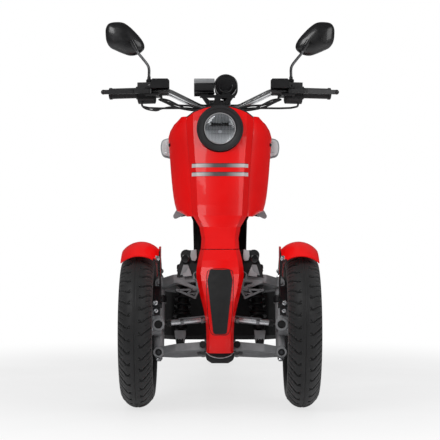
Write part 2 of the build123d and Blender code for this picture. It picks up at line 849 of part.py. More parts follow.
steering_stem.part.label = "steering_stem"
export_step(steering_stem.part, "parts/steering_stem.step")

bar_y = column_y(bar_centre_z)
with BuildPart() as handlebar:
    with BuildLine() as bar_path:
        FilletPolyline(
            (-bar_end_x, bar_y + bar_sweep, bar_grip_z),
            (-bar_rise_x, bar_y + 4, bar_rise_z),
            (-bar_flat_x, bar_y, bar_centre_z),
            (bar_flat_x, bar_y, bar_centre_z),
            (bar_rise_x, bar_y + 4, bar_rise_z),
            (bar_end_x, bar_y + bar_sweep, bar_grip_z),
            radius=40,
        )
    with BuildSketch(Plane(origin=bar_path.line @ 0, z_dir=bar_path.line % 0)):
        Circle(bar_radius)
    sweep(path=bar_path.line)
handlebar.part.label = "handlebar"
export_step(handlebar.part, "parts/handlebar.step")

# everything on the left end of the bar is placed from the bar's own line
rise_point = Vector(bar_rise_x, bar_y + 4, bar_rise_z)
end_point = Vector(bar_end_x, bar_y + bar_sweep, bar_grip_z)
bar_out = (end_point - rise_point).normalized()


def on_bar(x):
    """Point on the left end of the bar at width x."""
    return rise_point + bar_out * ((x - rise_point.X) / bar_out.X)


def bar_plane(x):
    """Plane across the bar: z runs outward, y runs forward, x runs up."""
    return Plane(origin=on_bar(x), x_dir=(0, 0, 1), z_dir=bar_out)


with BuildPart() as grips:
    with BuildSketch(bar_plane(grip_inner_x)):
        Circle(grip_radius)
    extrude(amount=bar_end_x - grip_inner_x + 4)
    for x, radius, width in ((grip_inner_x, grip_flange_radius, 5), (bar_end_x - 2, grip_flange_radius - 2, 7)):
        with BuildSketch(bar_plane(x)):
            Circle(radius)
        extrude(amount=width)
    with BuildSketch(bar_plane(grip_inner_x - 1)):
        Circle(bar_radius + bar_fit)
    extrude(amount=(bar_end_x - grip_inner_x + 1) / bar_out.X + 1, mode=Mode.SUBTRACT)
    mirror(about=Plane.YZ)
grips.part.label = "grips"
export_step(grips.part, "parts/grips.step")

# ---------------------------------------------------------------- controls on the bar
switch_inner_x = 210
switch_outer_x = grip_inner_x - 1
switch_top = 32
switch_drop = 36
lever_forward = 46
lever_tip_x = 375
lever_ball = 8
cylinder_inner_x = 163
cylinder_radius = 10
reservoir_inner_x = 162
reservoir_outer_x = 220
reservoir_height = 30

with BuildPart() as switch_housings:
    with BuildSketch(bar_plane(switch_inner_x)):
        with BuildLine():
            Polyline((-switch_drop + 14, 22), (switch_top, 20), (switch_top, -18), (-switch_drop + 14, -20))
            ThreePointArc((-switch_drop + 14, -20), (-switch_drop, 1), (-switch_drop + 14, 22))
        make_face()
        Circle(bar_radius + bar_fit, mode=Mode.SUBTRACT)
    extrude(amount=switch_outer_x - switch_inner_x)
    mirror(about=Plane.YZ)
switch_housings.part.label = "switch_housings"
export_step(switch_housings.part, "parts/switch_housings.step")

with BuildPart() as master_cylinders:
    # clamp on the bar, cylinder ahead of it, fluid reservoir above
    clamp_x = switch_inner_x - 18
    with BuildSketch(bar_plane(clamp_x)):
        Circle(bar_radius + 7)
        with Locations((0, lever_forward - 14)):
            Circle(cylinder_radius)
        make_hull()
        Circle(bar_radius + bar_fit, mode=Mode.SUBTRACT)
    extrude(amount=13.7)
    cylinder_start = on_bar(cylinder_inner_x) + Vector(0, -lever_forward + 14, 0)
    with Locations(Plane(origin=cylinder_start, x_dir=(0, 0, 1), z_dir=bar_out)):
        Cylinder(cylinder_radius, 46, align=(Align.CENTER, Align.CENTER, Align.MIN))
    with Locations(on_bar((reservoir_inner_x + reservoir_outer_x) / 2) + Vector(0, -lever_forward + 6, 24)):
        tank = Box(reservoir_outer_x - reservoir_inner_x, 32, reservoir_height)
    chamfer(tank.edges().filter_by(Axis.Y).sort_by(Axis.Z)[-2:], 5)
    # ears that hold the lever's pivot pin
    with Locations(on_bar(switch_inner_x + 16) + Vector(0, -lever_forward, 0)):
        for level in (11, -11):
            with Locations((-7, 4, level)):
                Box(40, 30, 6)
        Cylinder(4, 28)
    mirror(about=Plane.YZ)
master_cylinders.part.label = "master_cylinders"
export_step(master_cylinders.part, "parts/master_cylinders.step")

with BuildPart() as brake_levers:
    pivot = on_bar(switch_inner_x + 16) + Vector(0, -lever_forward, 0)
    tip = on_bar(lever_tip_x) + Vector(0, -lever_forward + 6, 2)
    lever_plane = Plane(origin=pivot, x_dir=(tip - pivot), z_dir=(tip - pivot).cross(Vector(0, 1, 0)))
    reach = (tip - pivot).length
    with BuildSketch(lever_plane.offset(-7)):
        Circle(11)
        with Locations((46, -4)):
            Circle(8)
        make_hull()
        with BuildLine():
            Polyline((40, -10), (reach * 0.6, -7), (reach, -4))
            Line((reach, -4), (reach, 4))
            Polyline((reach, 4), (reach * 0.6, 5), (40, 4))
            Line((40, 4), (40, -10))
        make_face()
        Circle(4 + gap, mode=Mode.SUBTRACT)
    extrude(amount=14)
    with Locations(Location(tip)):
        Sphere(lever_ball)
    mirror(about=Plane.YZ)
brake_levers.part.label = "brake_levers"
export_step(brake_levers.part, "parts/brake_levers.step")

# ---------------------------------------------------------------- mirrors
mirror_foot_x = 228
mirror_neck_z = 1062
mirror_head_x = 306
mirror_head_z = 1146
mirror_half_width = 62
mirror_half_height = 53
mirror_depth = 34
mirror_tilt = 18
stalk_radius = 5
glass_thickness = 3

mirror_foot = on_bar(mirror_foot_x) + Vector(0, 0, switch_top + 2 * gap)
mirror_y = mirror_foot.Y - 10
with BuildPart() as mirror_stalks:
    with BuildLine() as stalk_path:
        FilletPolyline(
            mirror_foot,
            (mirror_foot.X, mirror_foot.Y, mirror_neck_z),
            (mirror_head_x - 36, mirror_y - 7, mirror_head_z - 26),
            radius=14,
        )
    with BuildSketch(Plane(origin=stalk_path.line @ 0, z_dir=stalk_path.line % 0)):
        Circle(stalk_radius)
    sweep(path=stalk_path.line)
    with Locations(mirror_foot):
        Cylinder(10, 26, align=(Align.CENTER, Align.CENTER, Align.MIN))
        with Locations((0, 0, 26)):
            Cone(10, stalk_radius, 14, align=(Align.CENTER, Align.CENTER, Align.MIN))
    mirror(about=Plane.YZ)


def mirror_outline(scale):
    """Rounded six-sided outline of a mirror head, wide at its outer end."""
    with BuildSketch(mode=Mode.PRIVATE) as outline:
        with BuildLine():
            FilletPolyline(
                (-60 * scale, -14 * scale),
                (-52 * scale, 16 * scale),
                (-10 * scale, 47 * scale),
                (48 * scale, 53 * scale),
                (62 * scale, 36 * scale),
                (58 * scale, -10 * scale),
                (42 * scale, -26 * scale),
                (-22 * scale, -53 * scale),
                close=True,
                radius=11 * scale,
            )
        make_face()
    return outline.sketch


head_plane = Plane(
    origin=(mirror_head_x, mirror_y, mirror_head_z),
    x_dir=(1, 0, 0),
    z_dir=(0, -1, 0),
)
with BuildPart() as mirror_shells:
    with BuildSketch(head_plane.offset(-6)):
        add(mirror_outline(1))
    with BuildSketch(head_plane.offset(8)):
        add(mirror_outline(0.9))
    with BuildSketch(head_plane.offset(24)):
        add(mirror_outline(0.45))
    loft()
    with BuildSketch(head_plane.offset(-6)):
        add(mirror_outline(0.92))
    extrude(amount=glass_thickness + gap, mode=Mode.SUBTRACT)
    with Locations(Plane(origin=stalk_path.line @ 1, z_dir=stalk_path.line % 1)):
        Cylinder(stalk_radius + gap, 40, mode=Mode.SUBTRACT)
    mirror(about=Plane.YZ)

with BuildPart() as mirrors:
    add(mirror_stalks.part)
    add(mirror_shells.part)
mirrors.part.label = "mirrors"
export_step(mirrors.part, "parts/mirrors.step")

with BuildPart() as mirror_glasses:
    with BuildSketch(head_plane.offset(-5.5)):
        add(mirror_outline(0.91))
    extrude(amount=glass_thickness - 0.5 + gap)
    mirror(about=Plane.YZ)
mirror_glasses.part.label = "mirror_glasses"
export_step(mirror_glasses.part, "parts/mirror_glasses.step")

# ---------------------------------------------------------------- gauges
gauge_plate_y = bar_y - 6
gauge_left_x = 20
gauge_right_x = -51
gauge_middle_x = -8
display_tilt = 30
with BuildPart() as speed_display:
    with Locations(Plane(
        origin=(gauge_right_x, gauge_plate_y, bar_centre_z + 64),
        x_dir=(1, 0, 0),
        z_dir=(0, sin(radians(display_tilt)), cos(radians(display_tilt))),
    )):
        case = Box(64, 46, 44)
    chamfer(case.edges().filter_by(Axis.X), 6)

with BuildPart() as charge_gauge:
    with Locations(Plane(
        origin=(gauge_left_x, gauge_plate_y, bar_centre_z + 66),
        x_dir=(1, 0, 0),
        z_dir=(0, cos(radians(display_tilt)), sin(radians(display_tilt))),
    )):
        drum = Cylinder(37, 40)
    chamfer(drum.edges().sort_by(Axis.Y)[-1:], 3)

with BuildPart() as instruments:
    add(speed_display.part)
    add(charge_gauge.part)
instruments.part.label = "instruments"
export_step(instruments.part, "parts/instruments.step")

with BuildPart() as gauge_bracket:
    with BuildSketch(front_view(gauge_plate_y - 22)):
        with Locations((gauge_middle_x, bar_centre_z + 34)):
            Rectangle(112, 10)
        with Locations((gauge_middle_x, bar_centre_z + 24)):
            Rectangle(20, 24)
        Polygon(
            (gauge_middle_x - 56, bar_centre_z + 38),
            (gauge_middle_x - 42, bar_centre_z + 38),
            (gauge_middle_x - 26, bar_centre_z + 22),
            (gauge_middle_x - 26, bar_centre_z + 6),
            (gauge_middle_x - 34, bar_centre_z + 6),
            align=None,
        )
        Polygon(
            (gauge_middle_x + 56, bar_centre_z + 38),
            (gauge_middle_x + 42, bar_centre_z + 38),
            (gauge_middle_x + 26, bar_centre_z + 22),
            (gauge_middle_x + 26, bar_centre_z + 6),
            (gauge_middle_x + 34, bar_centre_z + 6),
            align=None,
        )
        with Locations((gauge_middle_x, bar_centre_z + 10)):
            Rectangle(60, 8)
    extrude(amount=5)
    # shelf and posts under the two gauges, and the foot on the stem clamp
    with Locations((gauge_middle_x, gauge_plate_y - 12, bar_centre_z + 36)):
        Box(112, 32, 4)
    with Locations((gauge_right_x, gauge_plate_y - 6, bar_centre_z + 44), (gauge_left_x, gauge_plate_y - 14, bar_centre_z + 44)):
        Box(26, 14, 20)
    with Locations((gauge_middle_x + 4, gauge_plate_y - 18, bar_centre_z + 10)):
        Box(40, 30, 8)
    with Locations(Plane(origin=(0, bar_y, bar_centre_z), x_dir=(0, 1, 0), z_dir=(1, 0, 0))):
        Cylinder(bar_radius + gap, 120, mode=Mode.SUBTRACT)
    add(instruments.part, mode=Mode.SUBTRACT)
    add(steering_stem.part, mode=Mode.SUBTRACT)
gauge_bracket.part.label = "gauge_bracket"
export_step(gauge_bracket.part, "parts/gauge_bracket.step")


# ---------------------------------------------------------------- fairing
def smooth(stations, step=26):
    """Stations at closer spacing, on curves through the given ones that never overshoot them."""

    def slope(index, column):
        near = range(max(0, index - 1), min(len(stations) - 1, index + 1))
        rises = [
            (stations[k + 1][column] - stations[k][column]) / (stations[k + 1][0] - stations[k][0]) for k in near
        ]
        if len(rises) == 1:
            return rises[0]
        if rises[0] * rises[1] <= 0:
            return 0
        return 2 * rises[0] * rises[1] / (rises[0] + rises[1])

    dense = []
    for index in range(len(stations) - 1):
        low = stations[index]
        high = stations[index + 1]
        span = high[0] - low[0]
        count = max(1, round(abs(span) / step))
        for part in range(count):
            t = part / count
            station = [low[0] + span * t]
            for column in range(1, len(low)):
                station.append(
                    (2 * t**3 - 3 * t**2 + 1) * low[column]
                    + (3 * t**2 - 2 * t**3) * high[column]
                    + (t**3 - 2 * t**2 + t) * span * slope(index, column)
                    + (t**3 - t**2) * span * slope(index + 1, column)
                )
            dense.append(tuple(station))
    return dense + [tuple(stations[-1])]


face_share = 0.8  # part of a hood's width taken by its bowed front face
face_drop = 0.3  # part of its depth by which that face curves back


def hood(stations, inset=0, grow=0):
    """Solid lofted through level sections: a bowed front face, bevelled corners and a flat back.

    Each station is (height, half width, y of the middle, y of the corner, y of the flat back).
    """
    facing = 1 if stations[0][4] > stations[0][2] else -1
    step = (inset - grow) * facing
    with BuildPart() as body:
        for height, half_width, middle_y, corner_y, open_y in smooth(stations):
            half = half_width - inset + grow
            face = half_width * face_share - inset * 0.6 + grow * 0.6
            middle = front_y + middle_y + step
            face_y = middle + (corner_y - middle_y) * face_drop
            corner = front_y + corner_y + step * 0.6
            back = front_y + open_y + (facing if inset else 0)
            with BuildSketch(Plane.XY.offset(height)):
                with BuildLine():
                    ThreePointArc((-face, face_y), (0, middle), (face, face_y))
                    Polyline(
                        (face, face_y),
                        (half, corner),
                        (half, back),
                        (-half, back),
                        (-half, corner),
                        (-face, face_y),
                    )
                make_face()
        loft(ruled=True)
    return body


def shell(stations, wall, floor=0):
    """Hood with an even wall, open at its flat side and at both ends unless it has a floor."""
    upward = 1 if stations[0][0] < stations[-1][0] else -1
    first = (stations[0][0] - upward,) + tuple(stations[0][1:])
    last = (stations[-1][0] - floor * upward if floor else stations[-1][0] + upward,) + tuple(stations[-1][1:])
    outer = hood(stations)
    inner = hood([first] + list(stations[1:-1]) + [last], inset=wall)
    with BuildPart() as cover:
        add(outer.part)
        add(inner.part, mode=Mode.SUBTRACT)
    return cover


# height, half width, then y behind the front axle: middle, corner, open edge
front_panel_stations = (
    (seam_z + 1, 58, -14, 22, 62),
    (505, 56, 18, 50, 90),
    (540, 63, 52, 84, 120),
    (575, 84, 72, 106, 150),
    (640, 88, 86, 124, 165),
    (700, 92, 98, 138, 180),
    (770, 98, 116, 156, 200),
    (871, 105, 152, 190, 235),
    (925, 104, 176, 214, 262),
)
front_panel_shell = shell(front_panel_stations, fairing_wall)
cowl_apex_z = 920
cowl_side_z = 880
with BuildPart() as front_panel:
    add(front_panel_shell.part)
    with BuildSketch(front_view(front_y + 400)):
        with BuildLine():
            ThreePointArc((-120, cowl_side_z - 8), (0, cowl_apex_z), (120, cowl_side_z - 8))
            Polyline((120, cowl_side_z - 8), (120, seam_z - 10), (-120, seam_z - 10), (-120, cowl_side_z - 8))
        make_face()
    extrude(amount=500, mode=Mode.INTERSECT)
    with BuildSketch(front_view(front_y + 260)):
        with Locations((0, headlight_z)):
            Circle(bezel_radius)
    extrude(amount=200, mode=Mode.SUBTRACT)
front_panel.part.label = "front_panel"
export_step(front_panel.part, "parts/front_panel.step")

nose_stations = (
    (seam_z - 1, 59, -16, 20, 60),
    (440, 66, -44, -8, 40),
    (400, 71, -66, -30, 12),
    (360, 64, -80, -46, 2),
    (321, 54.5, -90, -58, -14),
    (261, 42, -97, -66, -32),
    (210, 40, -94, -66, -34),
    (nose_bottom_z, 40, -82, -58, -40),
)
nose_panel = shell(nose_stations, fairing_wall, floor=3)
nose_panel.part.label = "nose_panel"
export_step(nose_panel.part, "parts/nose_panel.step")

# black insert on the nose: the nose's own surface, a little prouder, cut to its outline
insert_proud = 4
insert_stations = [
    (height, half_width, middle_y - insert_proud, corner_y - insert_proud, corner_y + 8)
    for height, half_width, middle_y, corner_y, open_y in nose_stations
]
insert_skin = shell(insert_stations, insert_proud - 3 * gap)
with BuildPart() as nose_insert:
    add(insert_skin.part)
    with BuildSketch(front_view(front_y)):
        with BuildLine():
            FilletPolyline(
                (-19.5, 226),
                (-37, 382),
                (-30, 414),
                (30, 414),
                (37, 382),
                (19.5, 226),
                close=True,
                radius=7,
            )
        make_face()
    extrude(amount=200, mode=Mode.INTERSECT)
nose_insert.part.label = "nose_insert"
export_step(nose_insert.part, "parts/nose_insert.step")

# the panel's outer surface, a seating gap larger
panel_envelope = hood(front_panel_stations, grow=gap)

wing_stations = (
    (572, 88, 100, 112, 152),
    (590, 89, 136, 116, 190),
    (660, 93, 150, 132, 214),
    (770, 101, 160, 158, 238),
    (825, 105, 164, 174, 250),
    (866, 108, 146, 190, 252),
    (888, 108, 122, 200, 250),
)
with BuildPart() as side_wings:
    for height, inner_x, outer_x, inner_y, outer_y in smooth(wing_stations):
        with BuildSketch(Plane.XY.offset(height)):
            with BuildLine():
                inner_x = inner_x - 4
                bulge = ((inner_x + outer_x) / 2 + 5, front_y + (inner_y + outer_y) / 2 - 10)
                ThreePointArc((inner_x, front_y + inner_y), bulge, (outer_x, front_y + outer_y))
                Line((outer_x, front_y + outer_y), (outer_x - 3, front_y + outer_y + 4))
                ThreePointArc(
                    (outer_x - 3, front_y + outer_y + 4),
                    (bulge[0] - 3, bulge[1] + 4),
                    (inner_x, front_y + inner_y + 6),
                )
                Line((inner_x, front_y + inner_y + 6), (inner_x, front_y + inner_y))
            make_face()
    loft(ruled=True)
    add(panel_envelope.part, mode=Mode.SUBTRACT)
    mirror(about=Plane.YZ)
side_wings.part.label = "side_wings"
export_step(side_wings.part, "parts/side_wings.step")

leg_shield_stations = (
    (floor_z + floor_thickness + 8, 84, 330, 318, 262),
    (450, 84, 352, 336, 262),
    (560, 86, 372, 350, 232),
    (620, 118, 384, 352, 262),
    (700, 138, 396, 352, 268),
    (825, 150, 414, 352, 274),
    (888, 112, 400, 350, 272),
)
leg_shield_shell = shell(leg_shield_stations, fairing_wall)
leg_shield_shell.part.label = "leg_shield"
export_step(leg_shield_shell.part, "parts/leg_shield.step")

dash_front_z = 893
with BuildPart() as dash_cover:
    # sloping lid between the cowl and the leg shield, with a well for the stem
    with BuildSketch(side_view(0)):
        with BuildLine():
            Polyline(
                (front_y + 216, dash_front_z - 4),
                (front_y + 216, dash_front_z),
                (front_y + 300, dash_front_z),
                (front_y + 404, 892.5),
                (front_y + 404, 888.5),
                (front_y + 300, dash_front_z - 4),
                (front_y + 216, dash_front_z - 4),
            )
        make_face()
    extrude(amount=104, both=True)
    with BuildSketch(Plane.XY.offset(800)):
        with BuildLine():
            Polyline((-98, front_y + 214), (98, front_y + 214), (104, front_y + 340))
            ThreePointArc((104, front_y + 340), (0, front_y + 404), (-104, front_y + 340))
            Line((-104, front_y + 340), (-98, front_y + 214))
        make_face()
    extrude(amount=200, mode=Mode.INTERSECT)
    with Locations(column_plane(900)):
        Cylinder(head_tube_radius + 9, 200, mode=Mode.SUBTRACT)
    # tabs that rest on the top edge of the cowl
    with Locations((97, front_y + 248.2, 890.1), (-97, front_y + 248.2, 890.1)):
        Box(12, 10, 4)
dash_cover.part.label = "dash_cover"
export_step(dash_cover.part, "parts/dash_cover.step")

# ---------------------------------------------------------------- headlight and front signals
bezel_front = 112  # behind the front axle
bezel_seat = 150
lens_dome = 12
with BuildPart() as headlight_bezel:
    with BuildSketch(Plane(origin=(0, front_y, headlight_z), x_dir=(0, 1, 0), z_dir=(-1, 0, 0))):
        with BuildLine():
            Polyline(
                (bezel_front + 18, lens_radius + gap),
                (bezel_front + 4, bezel_radius - 8),
                (bezel_front, bezel_radius - 4),
                (bezel_front + 8, bezel_radius - gap),
                (bezel_seat + 22, bezel_radius - gap),
                (bezel_seat + 22, bezel_radius - 6),
                (bezel_front + 26, lens_radius + 6),
                (bezel_front + 26, lens_radius + gap),
                close=True,
            )
        make_face()
    revolve(axis=Axis((0, front_y, headlight_z), (0, 1, 0)))

with BuildPart() as headlight_lens:
    with BuildSketch(Plane(origin=(0, front_y, headlight_z), x_dir=(0, 1, 0), z_dir=(-1, 0, 0))):
        with BuildLine():
            rim_y = bezel_front + 20
            ThreePointArc((rim_y, -lens_radius), (rim_y - lens_dome, 0), (rim_y, lens_radius))
            Line((rim_y, lens_radius), (rim_y + 4, lens_radius))
            ThreePointArc((rim_y + 4, lens_radius), (rim_y + 4 - lens_dome, 0), (rim_y + 4, -lens_radius))
            Line((rim_y + 4, -lens_radius), (rim_y, -lens_radius))
        make_face()
        with Locations((rim_y, -lens_radius)):
            Rectangle(4 * lens_dome, 2 * lens_radius, mode=Mode.SUBTRACT)
    revolve(axis=Axis((0, front_y, headlight_z), (0, 1, 0)))
headlight_lens.part.label = "headlight_lens"
export_step(headlight_lens.part, "parts/headlight_lens.step")

with BuildPart() as headlight_reflector:
    with BuildSketch(Plane(origin=(0, front_y, headlight_z), x_dir=(0, 1, 0), z_dir=(-1, 0, 0))):
        with BuildLine():
            Polyline(
                (bezel_front + 26 + gap, lens_radius + 4),
                (bezel_front + 26 + gap, lens_radius - 2),
                (bezel_front + 44, 18),
                (bezel_front + 44, 0),
                (bezel_front + 50, 0),
                (bezel_front + 50, 20),
                (bezel_front + 26 + gap, lens_radius + 4),
            )
        make_face()
    revolve(axis=Axis((0, front_y, headlight_z), (0, 1, 0)))

with BuildPart() as headlight:
    add(headlight_bezel.part)
    add(headlight_reflector.part)
headlight.part.label = "headlight"
export_step(headlight.part, "parts/headlight.step")

signal_z = 794
with BuildPart() as front_turn_signals:
    with BuildSketch(Plane.YZ.offset(150.6)):
        with BuildLine():
            FilletPolyline(
                (front_y + 264, signal_z - 30),
                (front_y + 288, signal_z - 24),
                (front_y + 298, signal_z + 28),
                (front_y + 266, signal_z + 30),
                close=True,
                radius=7,
            )
        make_face()
    extrude(amount=38, taper=8)
    mirror(about=Plane.YZ)

# ---------------------------------------------------------------- main frame
rail_radius = 16
pivot_plate_x = 98.5
pivot_plate = 11
swing_pivot_y = 985
swing_pivot_z = 262
stand_pivot_y = 935
stand_pivot_z = 215
shock_x = 80
shock_spring_radius = 17
shock_top_y = 1215
shock_top_z = 578
shock_foot_y = 1290
shock_foot_z = 286
rail_x = 146
rail_z = 214
upright_x = 64
seat_rail_x = 104
down_tube_radius = 19
with BuildPart() as main_frame:
    # steering head, and the block between the carrier plates
    with Locations(column_plane(560)):
        Cylinder(head_tube_radius, along(320), align=(Align.CENTER, Align.CENTER, Align.MIN))
    with Locations(column_plane(290)):
        with Locations((0, (block_front + block_back) / 2 - 8, 0)):
            Box(
                2 * carrier_gap - 12,
                block_back - block_front - 16,
                along(310),
                align=(Align.CENTER, Align.CENTER, Align.MIN),
            )
    with Locations(column_plane(440)):
        Cylinder(stem_radius + gap, 1200, mode=Mode.SUBTRACT)
    for side in (1, -1):
        with BuildLine() as down_tube:
            FilletPolyline(
                (side * 20, front_y + 190, 520),
                (side * 34, front_y + 268, 400),
                (side * 60, front_y + 306, 300),
                (side * rail_x, front_y + 400, rail_z),
                (side * rail_x, front_y + 860, rail_z),
                (side * upright_x, front_y + 960, 300),
                (side * upright_x, front_y + 974, 594),
                (side * seat_rail_x, front_y + 1036, 648),
                (side * (seat_rail_x - 4), front_y + 1200, 656),
                (side * 70, front_y + 1500, 668),
                radius=50,
            )
        with BuildSketch(Plane(origin=down_tube.line @ 0, z_dir=down_tube.line % 0)):
            Circle(rail_radius)
        sweep(path=down_tube.line)
    # cross tube behind the headlight that carries the fairing
    with Locations(Plane(origin=(0, front_y + 190, 780), x_dir=(0, 1, 0), z_dir=(1, 0, 0))):
        Cylinder(7, 2 * (98.6 - fairing_wall - gap))
    beam_end = column_y(780) - front_y - head_tube_radius + 2
    with Locations((0, front_y + (188 + beam_end) / 2, 780)):
        Box(30, beam_end - 188, 14)
    for y, z, half in ((412, rail_z, rail_x), (868, rail_z, rail_x), (1470, 667, 72)):
        with Locations(Plane(origin=(0, front_y + y, z), x_dir=(0, 1, 0), z_dir=(1, 0, 0))):
            Cylinder(rail_radius - 3, 2 * half)
    # plates, bolt and shaft that carry the swingarm and the centre stand
    for side in (1, -1):
        with BuildSketch(side_view(side * pivot_plate_x)):
            Polygon(
                (front_y + 916, 202),
                (front_y + 954, 202),
                (front_y + 1010, 238),
                (front_y + 1010, 288),
                (front_y + 972, 332),
                (front_y + 932, 332),
                align=None,
            )
        extrude(amount=side * pivot_plate)
        # ear for the top of the rear shock
        with BuildSketch(side_view(side * (shock_x + 12))):
            with Locations((front_y + shock_top_y, shock_top_z)):
                Circle(14)
            with Locations((front_y + shock_top_y + 6, 652)):
                Circle(14)
            make_hull()
        extrude(amount=side * 12)
        with Locations(Plane(
            origin=(side * (shock_x - 12), front_y + shock_top_y, shock_top_z), x_dir=(0, 1, 0), z_dir=(side, 0, 0)
        )):
            Cylinder(damper_bolt, 28, align=(Align.CENTER, Align.CENTER, Align.MIN))
    for y, z, radius in ((swing_pivot_y, swing_pivot_z, 9), (stand_pivot_y, stand_pivot_z, 7)):
        with Locations(Plane(origin=(0, front_y + y, z), x_dir=(0, 1, 0), z_dir=(1, 0, 0))):
            Cylinder(radius, 2 * (pivot_plate_x + pivot_plate + 8))
main_frame.part.label = "main_frame"
export_step(main_frame.part, "parts/main_frame.step")

# ---------------------------------------------------------------- floor, belly and battery


def belly_block(inset, bevel):
    """Solid belly, pulled in by a wall thickness and bevelled along its bottom edge."""
    half = belly_half_width - inset
    front = front_y + belly_front + inset
    rear = front_y + belly_rear + 6 * inset
    with BuildPart() as block:
        with BuildSketch(Plane.XY.offset(belly_bottom_z + inset)):
            with BuildLine():
                FilletPolyline(
                    (-half, front + 40),
                    (inset - 150, front),
                    (150 - inset, front),
                    (half, front + 40),
                    (half - 22, rear),
                    (22 - half, rear),
                    close=True,
                    radius=24,
                )
            make_face()
        extrude(amount=floor_z - belly_bottom_z)
        chamfer(block.edges().group_by(Axis.Z)[0], bevel)
        with Locations((0, 0, floor_z)):
            Box(3000, 3000, 200, align=(Align.CENTER, Align.CENTER, Align.MIN), mode=Mode.SUBTRACT)
    return block


belly_bevel = 14
belly_outside = belly_block(0, belly_bevel)
belly_inside = belly_block(belly_wall, belly_bevel - belly_wall / 2)
with BuildPart() as belly_pan:
    add(belly_outside.part)
    add(belly_inside.part, mode=Mode.SUBTRACT)
belly_pan.part.label = "belly_pan"
export_step(belly_pan.part, "parts/belly_pan.step")

with BuildPart() as floorboard:
    with BuildSketch(Plane.XY.offset(floor_z)):
        with BuildLine():
            FilletPolyline(
                (-belly_half_width - 4, front_y + belly_front + 38),
                (-152, front_y + belly_front - 2),
                (152, front_y + belly_front - 2),
                (belly_half_width + 4, front_y + belly_front + 38),
                (belly_half_width - 18, front_y + belly_rear - 30),
                (18 - belly_half_width, front_y + belly_rear - 30),
                close=True,
                radius=24,
            )
        make_face()
        # well for the down tubes
        with Locations((0, front_y + 270)):
            Rectangle(150, 90, mode=Mode.SUBTRACT)
    extrude(amount=floor_thickness)
floorboard.part.label = "floorboard"
export_step(floorboard.part, "parts/floorboard.step")

with BuildPart() as floor_mat:
    with BuildSketch(Plane.XY.offset(floor_z + floor_thickness)):
        with Locations((0, front_y + 590)):
            RectangleRounded(330, 440, 30)
    extrude(amount=mat_thickness)
floor_mat.part.label = "floor_mat"
export_step(floor_mat.part, "parts/floor_mat.step")

with BuildPart() as battery_box:
    with Locations((0, front_y + 640, belly_bottom_z + belly_wall + battery_height / 2 + 0.3)):
        Box(battery_width, battery_length, battery_height)
battery_box.part.label = "battery_box"
export_step(battery_box.part, "parts/battery_box.step")

# ---------------------------------------------------------------- rear body
side_stations = (
    # y behind the front axle, low edge, top edge, half width low, half width top
    (862, 582, panel_top_z, 96, 132),
    (960, 586, panel_top_z + 1, 100, 140),
    (1100, 604, panel_top_z + 2, 104, 146),
    (1220, 604, panel_top_z + 2.5, 104, 144),
    (1320, 580, panel_top_z + 3, 96, 137),
    (1450, 580, panel_top_z + 4, 86, 112),
    (1575, 636, panel_top_z + 4, 62, 70),
)
stalk_y = 1400
stalk_z = 592
stalk_bore = 7
stalk_x = 82


def body_section(y, low, top, half_low, half_top):
    """Cross-section of the tail: flat top and bottom, bowed sides."""
    bow = max(half_low, half_top) + 5
    with BuildSketch(front_view(front_y + y)) as section:
        with BuildLine():
            Line((-half_low, low), (half_low, low))
            ThreePointArc((half_low, low), (bow, (low + top) / 2), (half_top, top))
            Line((half_top, top), (-half_top, top))
            ThreePointArc((-half_top, top), (-bow, (low + top) / 2), (-half_low, low))
        make_face()
    return section.sketch


tail_stations = smooth(side_stations, 60)
outer_sections = [body_section(*station) for station in tail_stations]
inner_shifts = [-1] + [0] * (len(tail_stations) - 2) + [-panel_wall]
inner_sections = [
    body_section(y + shift, low - 2, top + 2, half_low - panel_wall, half_top - panel_wall)
    for shift, (y, low, top, half_low, half_top) in zip(inner_shifts, tail_stations)
]
with BuildPart() as side_panels:
    loft(outer_sections, ruled=True)
    loft(inner_sections, ruled=True, mode=Mode.SUBTRACT)
    # seam down the middle of the tail, and the holes for the rear signal stalks
    with Locations((0, front_y + 1500, 650)):
        Box(0.6, 400, 400, mode=Mode.SUBTRACT)
    with Locations(Plane(origin=(0, front_y + stalk_y, stalk_z), x_dir=(0, 1, 0), z_dir=(1, 0, 0))):
        Cylinder(stalk_bore + gap, 500, mode=Mode.SUBTRACT)
side_panels.part.label = "side_panels"
export_step(side_panels.part, "parts/side_panels.step")

# column under the seat, and the wider throat above it
column_top_z = 568
cover_column = shell(
    (
        (floor_z + floor_thickness + gap, 86, 830, 846, 1004),
        (450, 87, 824, 842, 1004),
        (column_top_z, 88, 828, 844, 1004),
    ),
    fairing_wall,
)
cover_throat = shell(
    (
        (column_top_z - 1, 88.4, 828, 844, 861.5),
        (600, 100, 832, 846, 861.5),
        (650, 122, 838, 850, 861.5),
        (698, 131, 842, 852, 861.5),
    ),
    fairing_wall,
)
with BuildPart() as seat_front_cover:
    add(cover_column.part)
    add(cover_throat.part)
seat_front_cover.part.label = "seat_front_cover"
export_step(seat_front_cover.part, "parts/seat_front_cover.step")

